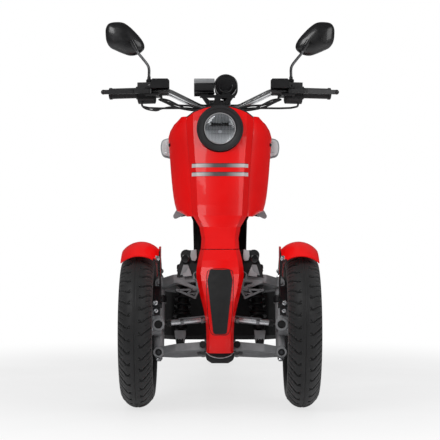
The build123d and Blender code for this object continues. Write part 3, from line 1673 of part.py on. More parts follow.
deck_z = 684.3
deck_thickness = 4
bucket_half_width = 76
bucket_front = 1062
bucket_rear = 1300
bucket_floor_z = 604
hinge_radius = 6
hinge_pin = 3
with BuildPart() as storage_bucket:
    with BuildSketch(Plane.XY.offset(deck_z)):
        with BuildLine():
            Polyline(
                (-118, front_y + 864),
                (118, front_y + 864),
                (132, front_y + 1100),
                (124, front_y + 1300),
                (98, front_y + 1450),
                (60, front_y + 1560),
                (-60, front_y + 1560),
                (-98, front_y + 1450),
                (-124, front_y + 1300),
                (-132, front_y + 1100),
                close=True,
            )
        make_face()
    extrude(amount=deck_thickness)
    with BuildSketch(Plane.XY.offset(bucket_floor_z)):
        with Locations((0, front_y + (bucket_front + bucket_rear) / 2)):
            RectangleRounded(2 * bucket_half_width, bucket_rear - bucket_front, 24)
    extrude(amount=deck_z - bucket_floor_z + 0.1)
    with BuildSketch(Plane.XY.offset(bucket_floor_z + 3)):
        with Locations((0, front_y + (bucket_front + bucket_rear) / 2)):
            RectangleRounded(2 * bucket_half_width - 6, bucket_rear - bucket_front - 6, 21)
    extrude(amount=400, mode=Mode.SUBTRACT)
    # two hinge ears with the seat's pin
    for side in (1, -1):
        with BuildSketch(side_view(side * 14)):
            with Locations((front_y + seat_hinge_y, seat_hinge_z)):
                Circle(hinge_radius)
            with Locations((front_y + 872, deck_z + 2)):
                Rectangle(14, 3.9)
            make_hull()
        extrude(amount=side * 8)
    with Locations(Plane(origin=(0, front_y + seat_hinge_y, seat_hinge_z), x_dir=(0, 1, 0), z_dir=(1, 0, 0))):
        Cylinder(hinge_pin, 44)
storage_bucket.part.label = "storage_bucket"
export_step(storage_bucket.part, "parts/storage_bucket.step")

seat_front = seat_hinge_y + 8
seat_rear = seat_front + seat_length
seat_base_z = seat_hinge_z + 3
with BuildPart() as seat_base:
    with BuildSketch(Plane.XY.offset(seat_base_z)):
        with BuildLine():
            FilletPolyline(
                (-104, front_y + seat_front),
                (104, front_y + seat_front),
                (seat_half_width - 4, front_y + seat_front + 230),
                (seat_half_width - 8, front_y + seat_front + 430),
                (84, front_y + seat_rear),
                (-84, front_y + seat_rear),
                (8 - seat_half_width, front_y + seat_front + 430),
                (4 - seat_half_width, front_y + seat_front + 230),
                close=True,
                radius=30,
            )
        make_face()
    extrude(amount=seat_base_thickness)
    with BuildSketch(side_view(-13.5)):
        with Locations((front_y + seat_hinge_y, seat_hinge_z)):
            Circle(hinge_radius)
        with Locations((front_y + seat_front + 12, seat_base_z + 4)):
            Circle(3)
        make_hull()
        with Locations((front_y + seat_hinge_y, seat_hinge_z)):
            Circle(hinge_pin + gap, mode=Mode.SUBTRACT)
    extrude(amount=27)
    # rubber feet that rest on the deck
    with Locations(
        (90, front_y + 1000, 0), (-90, front_y + 1000, 0), (70, front_y + 1400, 0), (-70, front_y + 1400, 0)
    ):
        with Locations((0, 0, deck_z + deck_thickness + gap)):
            Cylinder(
                9,
                seat_base_z - deck_z - deck_thickness - gap + 1,
                align=(Align.CENTER, Align.CENTER, Align.MIN),
            )
seat_base.part.label = "seat_base"
export_step(seat_base.part, "parts/seat_base.step")

cushion_z = seat_base_z + seat_base_thickness + gap
with BuildPart() as seat_cushion:
    with BuildSketch(side_view(0)):
        with BuildLine():
            FilletPolyline(
                (front_y + seat_front + 4, cushion_z),
                (front_y + seat_front + 4, cushion_z + rider_seat_height - 14),
                (front_y + seat_front + 60, cushion_z + rider_seat_height),
                (front_y + seat_front + 300, cushion_z + rider_seat_height - 6),
                (front_y + seat_front + 352, cushion_z + pillion_seat_height - 8),
                (front_y + seat_front + 520, cushion_z + pillion_seat_height),
                (front_y + seat_rear + 2, cushion_z + pillion_seat_height - 24),
                (front_y + seat_rear, cushion_z),
                close=True,
                radius=12,
            )
        make_face()
    extrude(amount=seat_half_width, both=True)
    with BuildSketch(Plane.XY.offset(cushion_z)):
        with BuildLine():
            FilletPolyline(
                (-106, front_y + seat_front + 2),
                (106, front_y + seat_front + 2),
                (seat_half_width, front_y + seat_front + 230),
                (seat_half_width - 4, front_y + seat_front + 430),
                (86, front_y + seat_rear + 2),
                (-86, front_y + seat_rear + 2),
                (4 - seat_half_width, front_y + seat_front + 430),
                (-seat_half_width, front_y + seat_front + 230),
                close=True,
                radius=34,
            )
        make_face()
    extrude(amount=200, mode=Mode.INTERSECT)
seat_cushion.part.label = "seat_cushion"
export_step(seat_cushion.part, "parts/seat_cushion.step")

rail_tube = 9
rack_bolt_x = 35
with BuildPart() as grab_rail:
    with BuildLine() as rail_path:
        FilletPolyline(
            (56, front_y + 1520, deck_z + deck_thickness + gap),
            (56, front_y + 1534, 738),
            (70, front_y + 1590, 772),
            (-70, front_y + 1590, 772),
            (-56, front_y + 1534, 738),
            (-56, front_y + 1520, deck_z + deck_thickness + gap),
            radius=26,
        )
    with BuildSketch(Plane(origin=rail_path.line @ 0, z_dir=rail_path.line % 0)):
        Circle(rail_tube)
    sweep(path=rail_path.line)
    with Locations(
        (56, front_y + 1520, deck_z + deck_thickness + gap), (-56, front_y + 1520, deck_z + deck_thickness + gap)
    ):
        Cylinder(15, 8, align=(Align.CENTER, Align.CENTER, Align.MIN))
    with Locations((0, front_y + 1520, deck_z)):
        Box(400, 200, 2 * deck_thickness + 2 * gap, mode=Mode.SUBTRACT)
    # drilled strap for the bolts of a rack
    with Locations((0, front_y + 1566, 771)):
        Box(110, 36, 5)
    with Locations((rack_bolt_x, front_y + 1562, 771), (-rack_bolt_x, front_y + 1562, 771)):
        Cylinder(3.5, 40, mode=Mode.SUBTRACT)
grab_rail.part.label = "grab_rail"
export_step(grab_rail.part, "parts/grab_rail.step")

with BuildPart() as tail_light:
    with BuildSketch(front_view(front_y + 1575 + gap)):
        with Locations((0, 676)):
            RectangleRounded(116, 40, 12)
    extrude(amount=-18, taper=12)
tail_light.part.label = "tail_light"
export_step(tail_light.part, "parts/tail_light.step")

signal_inner_x = 146
signal_outer_x = 188
with BuildPart() as rear_turn_signals:
    with BuildSketch(Plane.YZ.offset(signal_inner_x)):
        with Locations((front_y + stalk_y, stalk_z)):
            RectangleRounded(56, 30, 8)
    extrude(amount=signal_outer_x - signal_inner_x, taper=9)
    with Locations(Plane(origin=(stalk_x, front_y + stalk_y, stalk_z), x_dir=(0, 1, 0), z_dir=(1, 0, 0))):
        Cylinder(stalk_bore, signal_inner_x - stalk_x + 2, align=(Align.CENTER, Align.CENTER, Align.MIN))
    mirror(about=Plane.YZ)

with BuildPart() as turn_signals:
    add(front_turn_signals.part)
    add(rear_turn_signals.part)
turn_signals.part.label = "turn_signals"
export_step(turn_signals.part, "parts/turn_signals.step")

# ---------------------------------------------------------------- rear fender and plate holder
hugger_half_width = 58
hugger_radius = rear_tyre_diameter / 2 + 24
hugger_wall = 3
hugger_front = 40  # degrees ahead of the top
hugger_rear = 74
plate_bolt_x = 70
plate_bolt_radius = 3.5
with BuildPart() as rear_fender:
    for sweep_angle in (hugger_front, -hugger_rear):
        with BuildSketch(wheel_profile_plane(rear_y, rear_z)):
            with BuildLine():
                side_radius = hugger_radius - 20
                ThreePointArc(
                    (-hugger_half_width, side_radius),
                    (0, hugger_radius + hugger_wall),
                    (hugger_half_width, side_radius),
                )
                Line((hugger_half_width, side_radius), (hugger_half_width - hugger_wall, side_radius))
                ThreePointArc(
                    (hugger_half_width - hugger_wall, side_radius),
                    (0, hugger_radius),
                    (hugger_wall - hugger_half_width, side_radius),
                )
                Line((hugger_wall - hugger_half_width, side_radius), (-hugger_half_width, side_radius))
            make_face()
        revolve(axis=Axis((0, rear_y, rear_z), (1, 0, 0)), revolution_arc=sweep_angle)
    # upright web to the rear cross tube, and the arm of the plate holder
    hanger_top = 667 - (rail_radius - 3) - gap
    with BuildSketch(side_view(-28)):
        Polygon(
            (front_y + 1420, rear_z + 256),
            (front_y + 1448, hanger_top),
            (front_y + 1492, hanger_top),
            (tail_y - 5, 566),
            (tail_y - 5, 452),
            (tail_y - 30, 440),
            (front_y + 1530, 480),
            (front_y + 1505, 440),
            align=None,
        )
    extrude(amount=56)
    with Locations(Plane(origin=(0, rear_y, rear_z), x_dir=(0, 1, 0), z_dir=(1, 0, 0))):
        Cylinder(hugger_radius - 2, 2 * hugger_half_width, mode=Mode.SUBTRACT)
    with Locations((0, tail_y - 2.5, 505)):
        Box(180, 5, 130)
    with Locations(
        Plane(origin=(plate_bolt_x, tail_y, 545), x_dir=(1, 0, 0), z_dir=(0, 1, 0)),
        Plane(origin=(-plate_bolt_x, tail_y, 545), x_dir=(1, 0, 0), z_dir=(0, 1, 0)),
    ):
        Cylinder(plate_bolt_radius, 20, mode=Mode.SUBTRACT)
rear_fender.part.label = "rear_fender"
export_step(rear_fender.part, "parts/rear_fender.step")

# ---------------------------------------------------------------- swingarm and shocks
swing_inner_x = 82
swing_width = 16
rear_caliper_angle = 56  # degrees above level, behind the axle
with BuildPart() as swingarm:
    for side in (1, -1):
        with BuildSketch(side_view(side * swing_inner_x)):
            with Locations((front_y + swing_pivot_y, swing_pivot_z)):
                Circle(25)
            with Locations((rear_y, rear_z)):
                Circle(22)
            make_hull()
        extrude(amount=side * swing_width)
        # ear and bolt for the foot of the shock
        with Locations(Plane(
            origin=(side * (shock_x - 12), front_y + shock_foot_y, shock_foot_z),
            x_dir=(0, 1, 0),
            z_dir=(side, 0, 0),
        )):
            Cylinder(damper_bolt, 26, align=(Align.CENTER, Align.CENTER, Align.MIN))
        with BuildSketch(side_view(side * (shock_x + 11))):
            with Locations((front_y + shock_foot_y, shock_foot_z)):
                Circle(14)
            with Locations((front_y + shock_foot_y, shock_foot_z - 36)):
                Rectangle(60, 12)
            make_hull()
        extrude(amount=side * 7)
    with Locations(Plane(origin=(0, front_y + swing_pivot_y, swing_pivot_z), x_dir=(0, 1, 0), z_dir=(1, 0, 0))):
        Cylinder(19, 2 * (swing_inner_x + 2))
        Cylinder(9 + gap, 400, mode=Mode.SUBTRACT)
    with Locations((0, front_y + 1040, (swing_pivot_z + rear_z) / 2 + 6)):
        Box(2 * swing_inner_x + 2, 26, 34)
    # rear axle with its spacers and nuts
    with Locations(Plane(origin=(0, rear_y, rear_z), x_dir=(0, 1, 0), z_dir=(1, 0, 0))):
        Cylinder(axle_radius, 2 * (swing_inner_x + swing_width + 14))
    for start, width, radius in (
        (rear_disc_face + 1, swing_inner_x - rear_disc_face - 1, axle_radius + 6),
        (-swing_inner_x, swing_inner_x - motor_width / 2 - 1, axle_radius + 6),
        (swing_inner_x + swing_width, 9, axle_radius + 5),
        (-swing_inner_x - swing_width - 9, 9, axle_radius + 5),
    ):
        with Locations(Plane(origin=(start, rear_y, rear_z), x_dir=(0, 1, 0), z_dir=(1, 0, 0))):
            Cylinder(radius, width, align=(Align.CENTER, Align.CENTER, Align.MIN))
    # lug that holds the rear brake caliper, behind the axle and level with the disc
    caliper_run = Vector(0, cos(radians(rear_caliper_angle)), sin(radians(rear_caliper_angle)))
    with BuildSketch(side_view(swing_inner_x)):
        with Locations((rear_y, rear_z)):
            Circle(20)
        with Locations((rear_y + 88 * caliper_run.Y, rear_z + 88 * caliper_run.Z)):
            Circle(20)
        make_hull()
        with Locations((rear_y, rear_z)):
            Circle(16, mode=Mode.SUBTRACT)
    extrude(amount=7)
swingarm.part.label = "swingarm"
export_step(swingarm.part, "parts/swingarm.step")

with BuildPart() as rear_caliper:
    rear_sector = sector_toward(50, rear_y, rear_z, rear_caliper_angle)
    with BuildSketch(rear_sector):
        add(ring_sector(62, 112, 24))
    extrude(amount=swing_inner_x - 50 - gap)
    with BuildSketch(rear_sector.offset(rear_disc_face - 50 - 2)):
        Circle(rear_disc_radius + 3)
    extrude(amount=disc_thickness + 4, mode=Mode.SUBTRACT)
rear_caliper.part.label = "rear_brake_caliper"
export_step(rear_caliper.part, "parts/rear_brake_caliper.step")

shock_foot = Vector(shock_x, front_y + shock_foot_y, shock_foot_z)
shock_top = Vector(shock_x, front_y + shock_top_y, shock_top_z)
shock_run = (shock_top - shock_foot).normalized()
shock_length = (shock_top - shock_foot).length
with BuildPart() as rear_shocks:
    with BuildSketch(Plane(origin=shock_foot, x_dir=shock_run.cross(Vector(1, 0, 0)), z_dir=(1, 0, 0))):
        with Locations((0, shock_length / 2)):
            Rectangle(2 * 7, shock_length)
        with Locations((0, shock_length * 0.34)):
            Rectangle(2 * 12, shock_length * 0.44)
        with Locations((0, shock_length - 40), (0, shock_length * 0.28)):
            Rectangle(2 * shock_spring_radius + 2, 8)
        shock_span = shock_length * 0.72 - 40
        for turn in range(spring_turns + 1):
            with Locations((0, shock_length * 0.28 + shock_span * (turn + 0.5) / (spring_turns + 1))):
                SlotOverall(2 * shock_spring_radius, 8)
        with Locations((-shock_spring_radius * 2, shock_length / 2)):
            Rectangle(4 * shock_spring_radius, shock_length * 2, mode=Mode.SUBTRACT)
    revolve(axis=Axis(shock_foot, shock_run))
    for end in (shock_foot, shock_top):
        with Locations(Plane(origin=end, x_dir=(0, 1, 0), z_dir=(1, 0, 0))):
            Cylinder(damper_eye, damper_eye_width)
            Cylinder(damper_bolt + gap, damper_eye_width * 2, mode=Mode.SUBTRACT)
    mirror(about=Plane.YZ)

with BuildPart() as shock_absorbers:
    add(front_dampers.part)
    add(rear_shocks.part)
shock_absorbers.part.label = "shock_absorbers"
export_step(shock_absorbers.part, "parts/shock_absorbers.step")

# ---------------------------------------------------------------- centre stand
stand_fold = 78  # degrees back from straight down, as parked
stand_leg_radius = 11
stand_foot_radius = 10
stand_reach = stand_pivot_z - stand_foot_radius - 2
stand_pivot = Vector(0, front_y + stand_pivot_y, stand_pivot_z)
stand_run = Vector(0, sin(radians(stand_fold)), -cos(radians(stand_fold)))
with BuildPart() as centre_stand:
    with Locations(Plane(origin=stand_pivot, x_dir=(0, 1, 0), z_dir=(1, 0, 0))):
        Cylinder(13, 2 * (pivot_plate_x - 1))
    for side in (1, -1):
        leg_start = stand_pivot + Vector(side * 70, 0, 0)
        leg_end = stand_pivot + Vector(side * 132, 0, 0) + stand_run * stand_reach
        leg = (leg_end - leg_start).normalized()
        with Locations(Plane(origin=leg_start, x_dir=leg.cross(Vector(0, 0, 1)), z_dir=leg)):
            Cylinder(
                stand_leg_radius,
                (leg_end - leg_start).length,
                align=(Align.CENTER, Align.CENTER, Align.MIN),
            )
        with Locations(Plane(origin=leg_end, x_dir=(0, 1, 0), z_dir=(1, 0, 0))):
            Cylinder(stand_foot_radius, 44)
    with Locations(Plane(origin=stand_pivot + stand_run * (stand_reach * 0.45), x_dir=(0, 1, 0), z_dir=(1, 0, 0))):
        Cylinder(8, 2 * 100)
    with Locations(Plane(origin=stand_pivot, x_dir=(0, 1, 0), z_dir=(1, 0, 0))):
        Cylinder(7 + gap, 400, mode=Mode.SUBTRACT)
centre_stand.part.label = "centre_stand"
export_step(centre_stand.part, "parts/centre_stand.step")

# ---------------------------------------------------------------- cables on the bar
cable_radius = 3.2
cable_routes = (
    (
        (252, 12, 936.6), (250, 8, 928), (228, 2, 923), (192, -6, 921),
        (150, -10, 921), (106, -12, 921), (66, -12, 917), (41, -9, 909), (24, -3, 890),
    ),
    (
        (188, -23.8, 962.4), (186, -24, 946), (160, -24, 936), (134, -24, 929),
        (102, -22, 928), (66, -18, 922), (27, -10, 897),
    ),
)
with BuildPart() as brake_cables:
    for route in cable_routes:
        with BuildLine() as cable:
            FilletPolyline(*[(x, bar_y + y, z) for x, y, z in route], radius=8)
        with BuildSketch(Plane(origin=cable.line @ 0, z_dir=cable.line % 0)):
            Circle(cable_radius)
        sweep(path=cable.line)
    mirror(about=Plane.YZ)
brake_cables.part.label = "brake_cables"
export_step(brake_cables.part, "parts/brake_cables.step")
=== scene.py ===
import math
import bmesh
import bpy
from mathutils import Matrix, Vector
from mathutils.bvhtree import BVHTree


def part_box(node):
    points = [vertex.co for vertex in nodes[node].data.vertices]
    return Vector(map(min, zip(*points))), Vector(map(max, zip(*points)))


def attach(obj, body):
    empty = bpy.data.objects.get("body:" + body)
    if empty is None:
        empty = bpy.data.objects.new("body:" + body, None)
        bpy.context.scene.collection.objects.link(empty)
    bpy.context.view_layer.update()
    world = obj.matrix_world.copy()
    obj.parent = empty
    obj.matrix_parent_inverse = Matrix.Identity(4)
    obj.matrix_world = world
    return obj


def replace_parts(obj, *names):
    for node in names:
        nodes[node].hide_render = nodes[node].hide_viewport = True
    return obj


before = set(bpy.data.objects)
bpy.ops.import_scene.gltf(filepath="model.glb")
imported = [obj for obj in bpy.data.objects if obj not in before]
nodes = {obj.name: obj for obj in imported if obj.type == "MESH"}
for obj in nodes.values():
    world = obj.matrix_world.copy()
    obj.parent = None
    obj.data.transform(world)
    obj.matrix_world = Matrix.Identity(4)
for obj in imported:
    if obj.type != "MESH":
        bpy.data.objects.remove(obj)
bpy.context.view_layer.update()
scene = bpy.context.scene

# ---- places
MM = 0.001
FRONT_Y = -0.692  # front axle
FRONT_Z = 0.2335
REAR_Y = 0.648  # rear axle
REAR_Z = 0.2365
WHEEL_X = 0.244
RAKE = math.radians(20)  # of the steering column and the kingpins
KINGPIN_SET_BACK = 0.035
BALL_X, BALL_Z = 183, 251  # ball joints of the steering, on the kingpins, in mm
COLUMN_UP = Vector((0, math.sin(RAKE), math.cos(RAKE)))
UP, DOWN = Vector((0, 0, 1)), Vector((0, 0, -1))
AHEAD, BACK = Vector((0, -1, 0)), Vector((0, 1, 0))
FAR_FRONT, FAR_BACK = -1.4, 1.5  # where rays start, clear of the vehicle
SIDES = (("left", 1), ("right", -1))
BAR = "handlebar"


def at(x, y, z):
    """Place in the row frame from millimetres, with y counted back from the front axle."""
    return Vector((x * MM, FRONT_Y + y * MM, z * MM))


def route(side, points):
    """Places on one side of the vehicle, from millimetres."""
    return [at(side * x, y, z) for x, y, z in points]


def from_axle(side, x, y=0.0, z=0.0):
    """Place in the row frame from millimetres, with y and z counted from the front axle."""
    return at(side * x, y, FRONT_Z / MM + z)


def polar(radius, turn):
    return radius * math.cos(turn), radius * math.sin(turn)


def spokes(steps):
    return [polar(1, 2 * math.pi * k / steps) for k in range(steps)]


# ---- materials
class Shader:
    """A principled material with procedural grain, wear and colour variation."""

    def __init__(self, name, color, rough=0.5, metallic=0.0, coat=0.0, **extra):
        self.material = bpy.data.materials.new(name)
        self.material.use_nodes = True
        self.tree = self.material.node_tree
        self.bsdf = self.tree.nodes["Principled BSDF"]
        self.color = color
        self.height = None
        sockets = {
            "Base Color": (*color, 1), "Roughness": rough, "Metallic": metallic, "IOR": 1.45,
            "Coat Weight": coat, "Coat Roughness": extra.get("coat_rough", 0.04),
            "Specular IOR Level": extra.get("specular", 0.5), "Sheen Weight": extra.get("sheen", 0.0),
            "Transmission Weight": extra.get("transmission", 0.0),
        }
        for socket, value in sockets.items():
            self.bsdf.inputs[socket].default_value = value

    def node(self, kind, **settings):
        made = self.tree.nodes.new(kind)
        for key, value in settings.items():
            if key in made.inputs:
                made.inputs[key].default_value = value
            else:
                setattr(made, key, value)
        return made

    def link(self, source, target):
        self.tree.links.new(source, target)

    def coordinates(self, stretch=(1, 1, 1)):
        place = self.node("ShaderNodeTexCoord")
        mapping = self.node("ShaderNodeMapping")
        mapping.inputs["Scale"].default_value = stretch
        self.link(place.outputs["Object"], mapping.inputs["Vector"])
        return mapping.outputs["Vector"]

    def axes(self):
        split = self.node("ShaderNodeSeparateXYZ")
        self.link(self.coordinates(), split.inputs[0])
        return split.outputs

    def noise(self, scale, detail=4.0, rough=0.55, stretch=(1, 1, 1)):
        made = self.node("ShaderNodeTexNoise", Scale=scale, Detail=detail, Roughness=rough)
        self.link(self.coordinates(stretch), made.inputs["Vector"])
        return made.outputs["Fac"]

    def cells(self, scale):
        made = self.node("ShaderNodeTexVoronoi", Scale=scale, feature="DISTANCE_TO_EDGE")
        self.link(self.coordinates(), made.inputs["Vector"])
        return made.outputs["Distance"]

    def ramp(self, source, low, high, low_value, high_value):
        limits = {"From Min": low, "From Max": high, "To Min": low_value, "To Max": high_value}
        made = self.node("ShaderNodeMapRange", **limits)
        self.link(source, made.inputs["Value"])
        return made.outputs["Result"]

    def vary_color(self, source, other, low=0.35, high=0.7):
        mix = self.node("ShaderNodeMix", data_type="RGBA")
        mix.inputs["A"].default_value = (*self.color, 1)
        mix.inputs["B"].default_value = (*other, 1)
        self.link(self.ramp(source, low, high, 0, 1), mix.inputs["Factor"])
        self.link(mix.outputs["Result"], self.bsdf.inputs["Base Color"])

    def vary_rough(self, source, low, high):
        self.link(self.ramp(source, 0.3, 0.7, low, high), self.bsdf.inputs["Roughness"])

    def bump(self, source, strength, distance=0.001):
        made = self.node("ShaderNodeBump", Strength=strength, Distance=distance)
        self.link(source, made.inputs["Height"])
        if self.height:
            self.link(self.height, made.inputs["Normal"])
        self.height = made.outputs["Normal"]
        self.link(self.height, self.bsdf.inputs["Normal"])


def tint(color, share, lift=0.0):
    return [channel * share + lift for channel in color]


def moulded(name, color, rough, grain=900, strength=0.25, coat=0.0):
    """Injection-moulded plastic: fine leather-like grain and slight tone variation."""
    made = Shader(name, color, rough, coat=coat)
    made.vary_color(made.noise(14), tint(color, 1.5, 0.001))
    made.vary_rough(made.noise(60), rough - 0.06, rough + 0.08)
    made.bump(made.cells(grain), strength, 0.0002)
    return made.material


def painted(name, color, rough=0.28, coat=0.6, peel=0.05, specular=0.5):
    """Sprayed metal or gloss body paint with a little orange peel."""
    made = Shader(name, color, rough, coat=coat, coat_rough=0.05, specular=specular)
    made.vary_color(made.noise(5, 2), tint(color, 0.86))
    made.vary_rough(made.noise(35), rough - 0.04, rough + 0.05)
    made.bump(made.noise(420, 2), peel, 0.0002)
    return made.material


def metal(name, color, rough=0.3, stretch=(1, 1, 1), scratch=400, strength=0.08):
    """Bare or brushed metal with fine scratches along one direction."""
    made = Shader(name, color, rough, metallic=1.0)
    made.vary_color(made.noise(40), tint(color, 0.75))
    made.vary_rough(made.noise(scratch, 3, 0.6, stretch), rough - 0.08, rough + 0.12)
    made.bump(made.noise(scratch, 3, 0.6, stretch), strength, 0.0002)
    return made.material


def cast(name, color, rough=0.5, metallic=0.5):
    """Sand-cast and painted alloy: pitted and slightly uneven."""
    made = Shader(name, color, rough, metallic=metallic)
    made.vary_color(made.noise(30), tint(color, 1.35))
    made.vary_rough(made.noise(90), rough - 0.1, rough + 0.1)
    made.bump(made.noise(700, 6, 0.7), 0.35, 0.0004)
    return made.material


def rubber(name, color, rough=0.75, grain=500):
    """Tyre or grip rubber: dull, slightly dusty in patches."""
    made = Shader(name, color, rough, specular=0.35, sheen=0.15)
    made.vary_color(made.noise(22, 6), tint(color, 1.7, 0.001), 0.45, 0.85)
    made.vary_rough(made.noise(120), rough - 0.1, rough + 0.08)
    made.bump(made.noise(grain, 6, 0.65), 0.3, 0.0004)
    return made.material


def clear(name, color, rough):
    made = Shader(name, color, rough, transmission=1.0)
    made.vary_rough(made.noise(60), rough, rough + 0.03)
    return made.material


def leather(name, color):
    """Soft vinyl: pebbled, with broad uneven patches."""
    made = Shader(name, color, 0.52, sheen=0.2)
    made.vary_color(made.noise(9), (0.034, 0.034, 0.037))
    made.vary_rough(made.noise(55), 0.44, 0.6)
    made.bump(made.cells(420), 0.35, 0.0004)
    made.bump(made.noise(60, 5), 0.2, 0.0015)
    return made.material


def trim_painted_reflection(name):
    """Trim strip with a painted reflection that goes from dark in the middle to light at both ends."""
    made = Shader(name, (0.085, 0.07, 0.072), 0.42, coat=0.2)
    away = made.node("ShaderNodeMath", operation="ABSOLUTE")
    made.link(made.axes()["X"], away.inputs[0])
    # painted reflection: dark in the middle, light towards both ends
    made.vary_color(away.outputs[0], (0.58, 0.56, 0.56), 0.018, 0.086)
    made.bump(made.noise(300, 2), 0.05, 0.0002)
    return made.material


def reflector_painted_reflection(name):
    """Lamp bowl with upright flutes and a painted reflection: darker above and bright below, with painted
    highlights in bands along the flutes.
    """
    made = Shader(name, (0.16, 0.165, 0.17), 0.3, metallic=0.35)
    height = made.axes()["Z"]
    wave = made.node("ShaderNodeTexWave", Scale=70, Distortion=2.5, Detail=2.0)
    made.link(made.coordinates(), wave.inputs["Vector"])
    # painted reflection: darker above and bright below, plus painted highlight bands along the flutes
    total = made.node("ShaderNodeMath", operation="ADD")
    made.link(made.ramp(height, 0.80, 0.846, 0.9, 0.12), total.inputs[0])
    made.link(made.ramp(wave.outputs["Fac"], 0.2, 0.8, -0.12, 0.24), total.inputs[1])
    made.vary_color(total.outputs[0], (0.82, 0.83, 0.84), 0.0, 1.0)
    made.bump(wave.outputs["Fac"], 0.3, 0.0006)
    return made.material


RED = painted("red_paint", (0.80, 0.0003, 0.0005), 0.36, 0.22, 0.03, 0.25)
BLACK_GLOSS = painted("black_gloss", (0.005, 0.005, 0.006), 0.25, 0.5)
BLACK_SATIN = painted("black_metal", (0.007, 0.007, 0.008), 0.4, 0.15, 0.12)
BLACK_PLASTIC = moulded("black_plastic", (0.007, 0.007, 0.008), 0.5)
DARK_PLASTIC = moulded("dark_plastic", (0.004, 0.004, 0.0045), 0.62, 700, 0.4)
GREY_CAST = cast("grey_cast", (0.045, 0.048, 0.053), 0.45, 0.4)
STEEL = metal("bright_steel", (0.72, 0.73, 0.75), 0.24, (1, 12, 12))
CHROME = metal("chrome", (0.88, 0.89, 0.9), 0.16, strength=0.02)
DISC_STEEL = metal("disc_steel", (0.5, 0.51, 0.53), 0.3, (1, 1, 1), 200, 0.2)
TYRE = rubber("tyre_rubber", (0.0085, 0.0085, 0.009), 0.58)
GRIP = rubber("grip_rubber", (0.009, 0.009, 0.0095), 0.7, 900)
MAT_RUBBER = rubber("mat_rubber", (0.02, 0.02, 0.022), 0.85, 700)
MAT_RIBS = rubber("mat_ribs", (0.026, 0.026, 0.028), 0.8, 800)
THREAD = rubber("seam_thread", (0.05, 0.05, 0.052), 0.7, 1500)
LEATHER = leather("seat_leather", (0.02, 0.02, 0.022))
MIRROR = metal("mirror_glass", (0.9, 0.92, 0.94), 0.03, strength=0.0)
MIRROR_SHELL = moulded("mirror_shell", (0.006, 0.006, 0.0065), 0.32, 1100, 0.08, 0.35)
STALK = metal("stalk_steel", (0.16, 0.16, 0.165), 0.28, strength=0.03)
LENS = clear("clear_lens", (0.93, 0.95, 0.97), 0.02)
CLEAR_SIGNAL = painted("signal_lens", (0.62, 0.63, 0.64), 0.12, 1.0)
RED_LENS = painted("red_lens", (0.32, 0.004, 0.006), 0.08, 1.0)
DISPLAY = painted("display_glass", (0.006, 0.008, 0.009), 0.07, 1.0)
DIAL_WHITE = painted("dial_marks", (0.75, 0.76, 0.78), 0.4, 0.2)
RIM_GREY = painted("rim_grey", (0.5, 0.5, 0.51), 0.3, 0.3)
BEZEL = moulded("bezel_black", (0.010, 0.010, 0.011), 0.55, 900, 0.2)
SILVER = metal("silver_trim", (0.62, 0.63, 0.65), 0.3, (12, 1, 12))
SILVER_DARK = metal("dark_trim", (0.2, 0.2, 0.21), 0.35, (12, 1, 12))
GREY_PLASTIC = moulded("grey_plastic", (0.2, 0.21, 0.22), 0.45, 900, 0.15)
LIGHT_PLASTIC = moulded("light_plastic", (0.2, 0.205, 0.21), 0.35, 900, 0.1)
FORGED = cast("forged_grey", (0.22, 0.224, 0.232), 0.5, 0.1)
LUG_GREY = cast("lug_grey", (0.30, 0.30, 0.31), 0.45, 0.2)
TRUSS_GREY = cast("truss_grey", (0.13, 0.13, 0.135), 0.5, 0.1)
SPRING = painted("spring_black", (0.006, 0.006, 0.0065), 0.55, 0.0, 0.05, 0.3)
# the trim strips carry a painted reflection in their colour
STRIPE = trim_painted_reflection("trim_painted_reflection")
# the lamp bowl carries a painted reflection in its colour
REFLECTOR = reflector_painted_reflection("reflector")

FINISHES = (
    (RED, "front_panel side_wings nose_panel side_panels"),
    (BLACK_PLASTIC, "leg_shield dash_cover seat_front_cover switch_housings instruments"),
    (DARK_PLASTIC, "nose_insert belly_pan floorboard storage_bucket seat_base rear_fender battery_box"),
    (BLACK_SATIN, "gauge_bracket main_frame linkage_carrier swingarm centre_stand grab_rail"),
    (BLACK_SATIN, "master_cylinders brake_levers brake_caliper_left brake_caliper_right"),
    (FORGED, "suspension_arms"),
    (SPRING, "shock_absorbers"),
    (GREY_CAST, "rear_brake_caliper"),
    (GRIP, "grips brake_cables"),
    (MAT_RUBBER, "floor_mat"),
    (RED_LENS, "tail_light"),
)


def paint(node, *materials, split=None):
    """Gives a CAD node its materials; split says by place which faces take the second."""
    mesh = nodes[node].data
    mesh.materials.clear()
    for made in materials:
        mesh.materials.append(made)
    if split:
        for polygon in mesh.polygons:
            polygon.material_index = int(split(polygon.center))


for made, names in FINISHES:
    for name in names.split():
        paint(name, made)
for word, side in SIDES:
    paint(f"front_fender_{word}", RED, BLACK_PLASTIC, split=lambda p: abs(p.x) < 0.196 and p.z < 0.447)
    paint(f"front_rim_{word}", BLACK_SATIN, DISC_STEEL, split=lambda p: abs(p.x) < 0.2165)
    paint(
        f"knuckle_{word}", FORGED, STEEL,
        split=lambda p: abs(p.x) > 0.2 and 0.2 < p.z < 0.27 and abs(p.y - FRONT_Y) < 0.024,
    )
paint("rear_hub_motor", BLACK_SATIN, DISC_STEEL, split=lambda p: 0.0565 < p.x < 0.0625)
paint("headlight", BLACK_PLASTIC, CHROME, split=lambda p: math.hypot(p.x, p.z - 0.84) < 0.0475)
paint("handlebar", BLACK_SATIN, CHROME, split=lambda p: abs(p.x) < 0.166)
paint("steering_stem", BLACK_SATIN, STEEL, split=lambda p: p.z > 0.9)


def placed(name, data):
    """New object in the scene."""
    made = bpy.data.objects.new(name, data)
    scene.collection.objects.link(made)
    return made


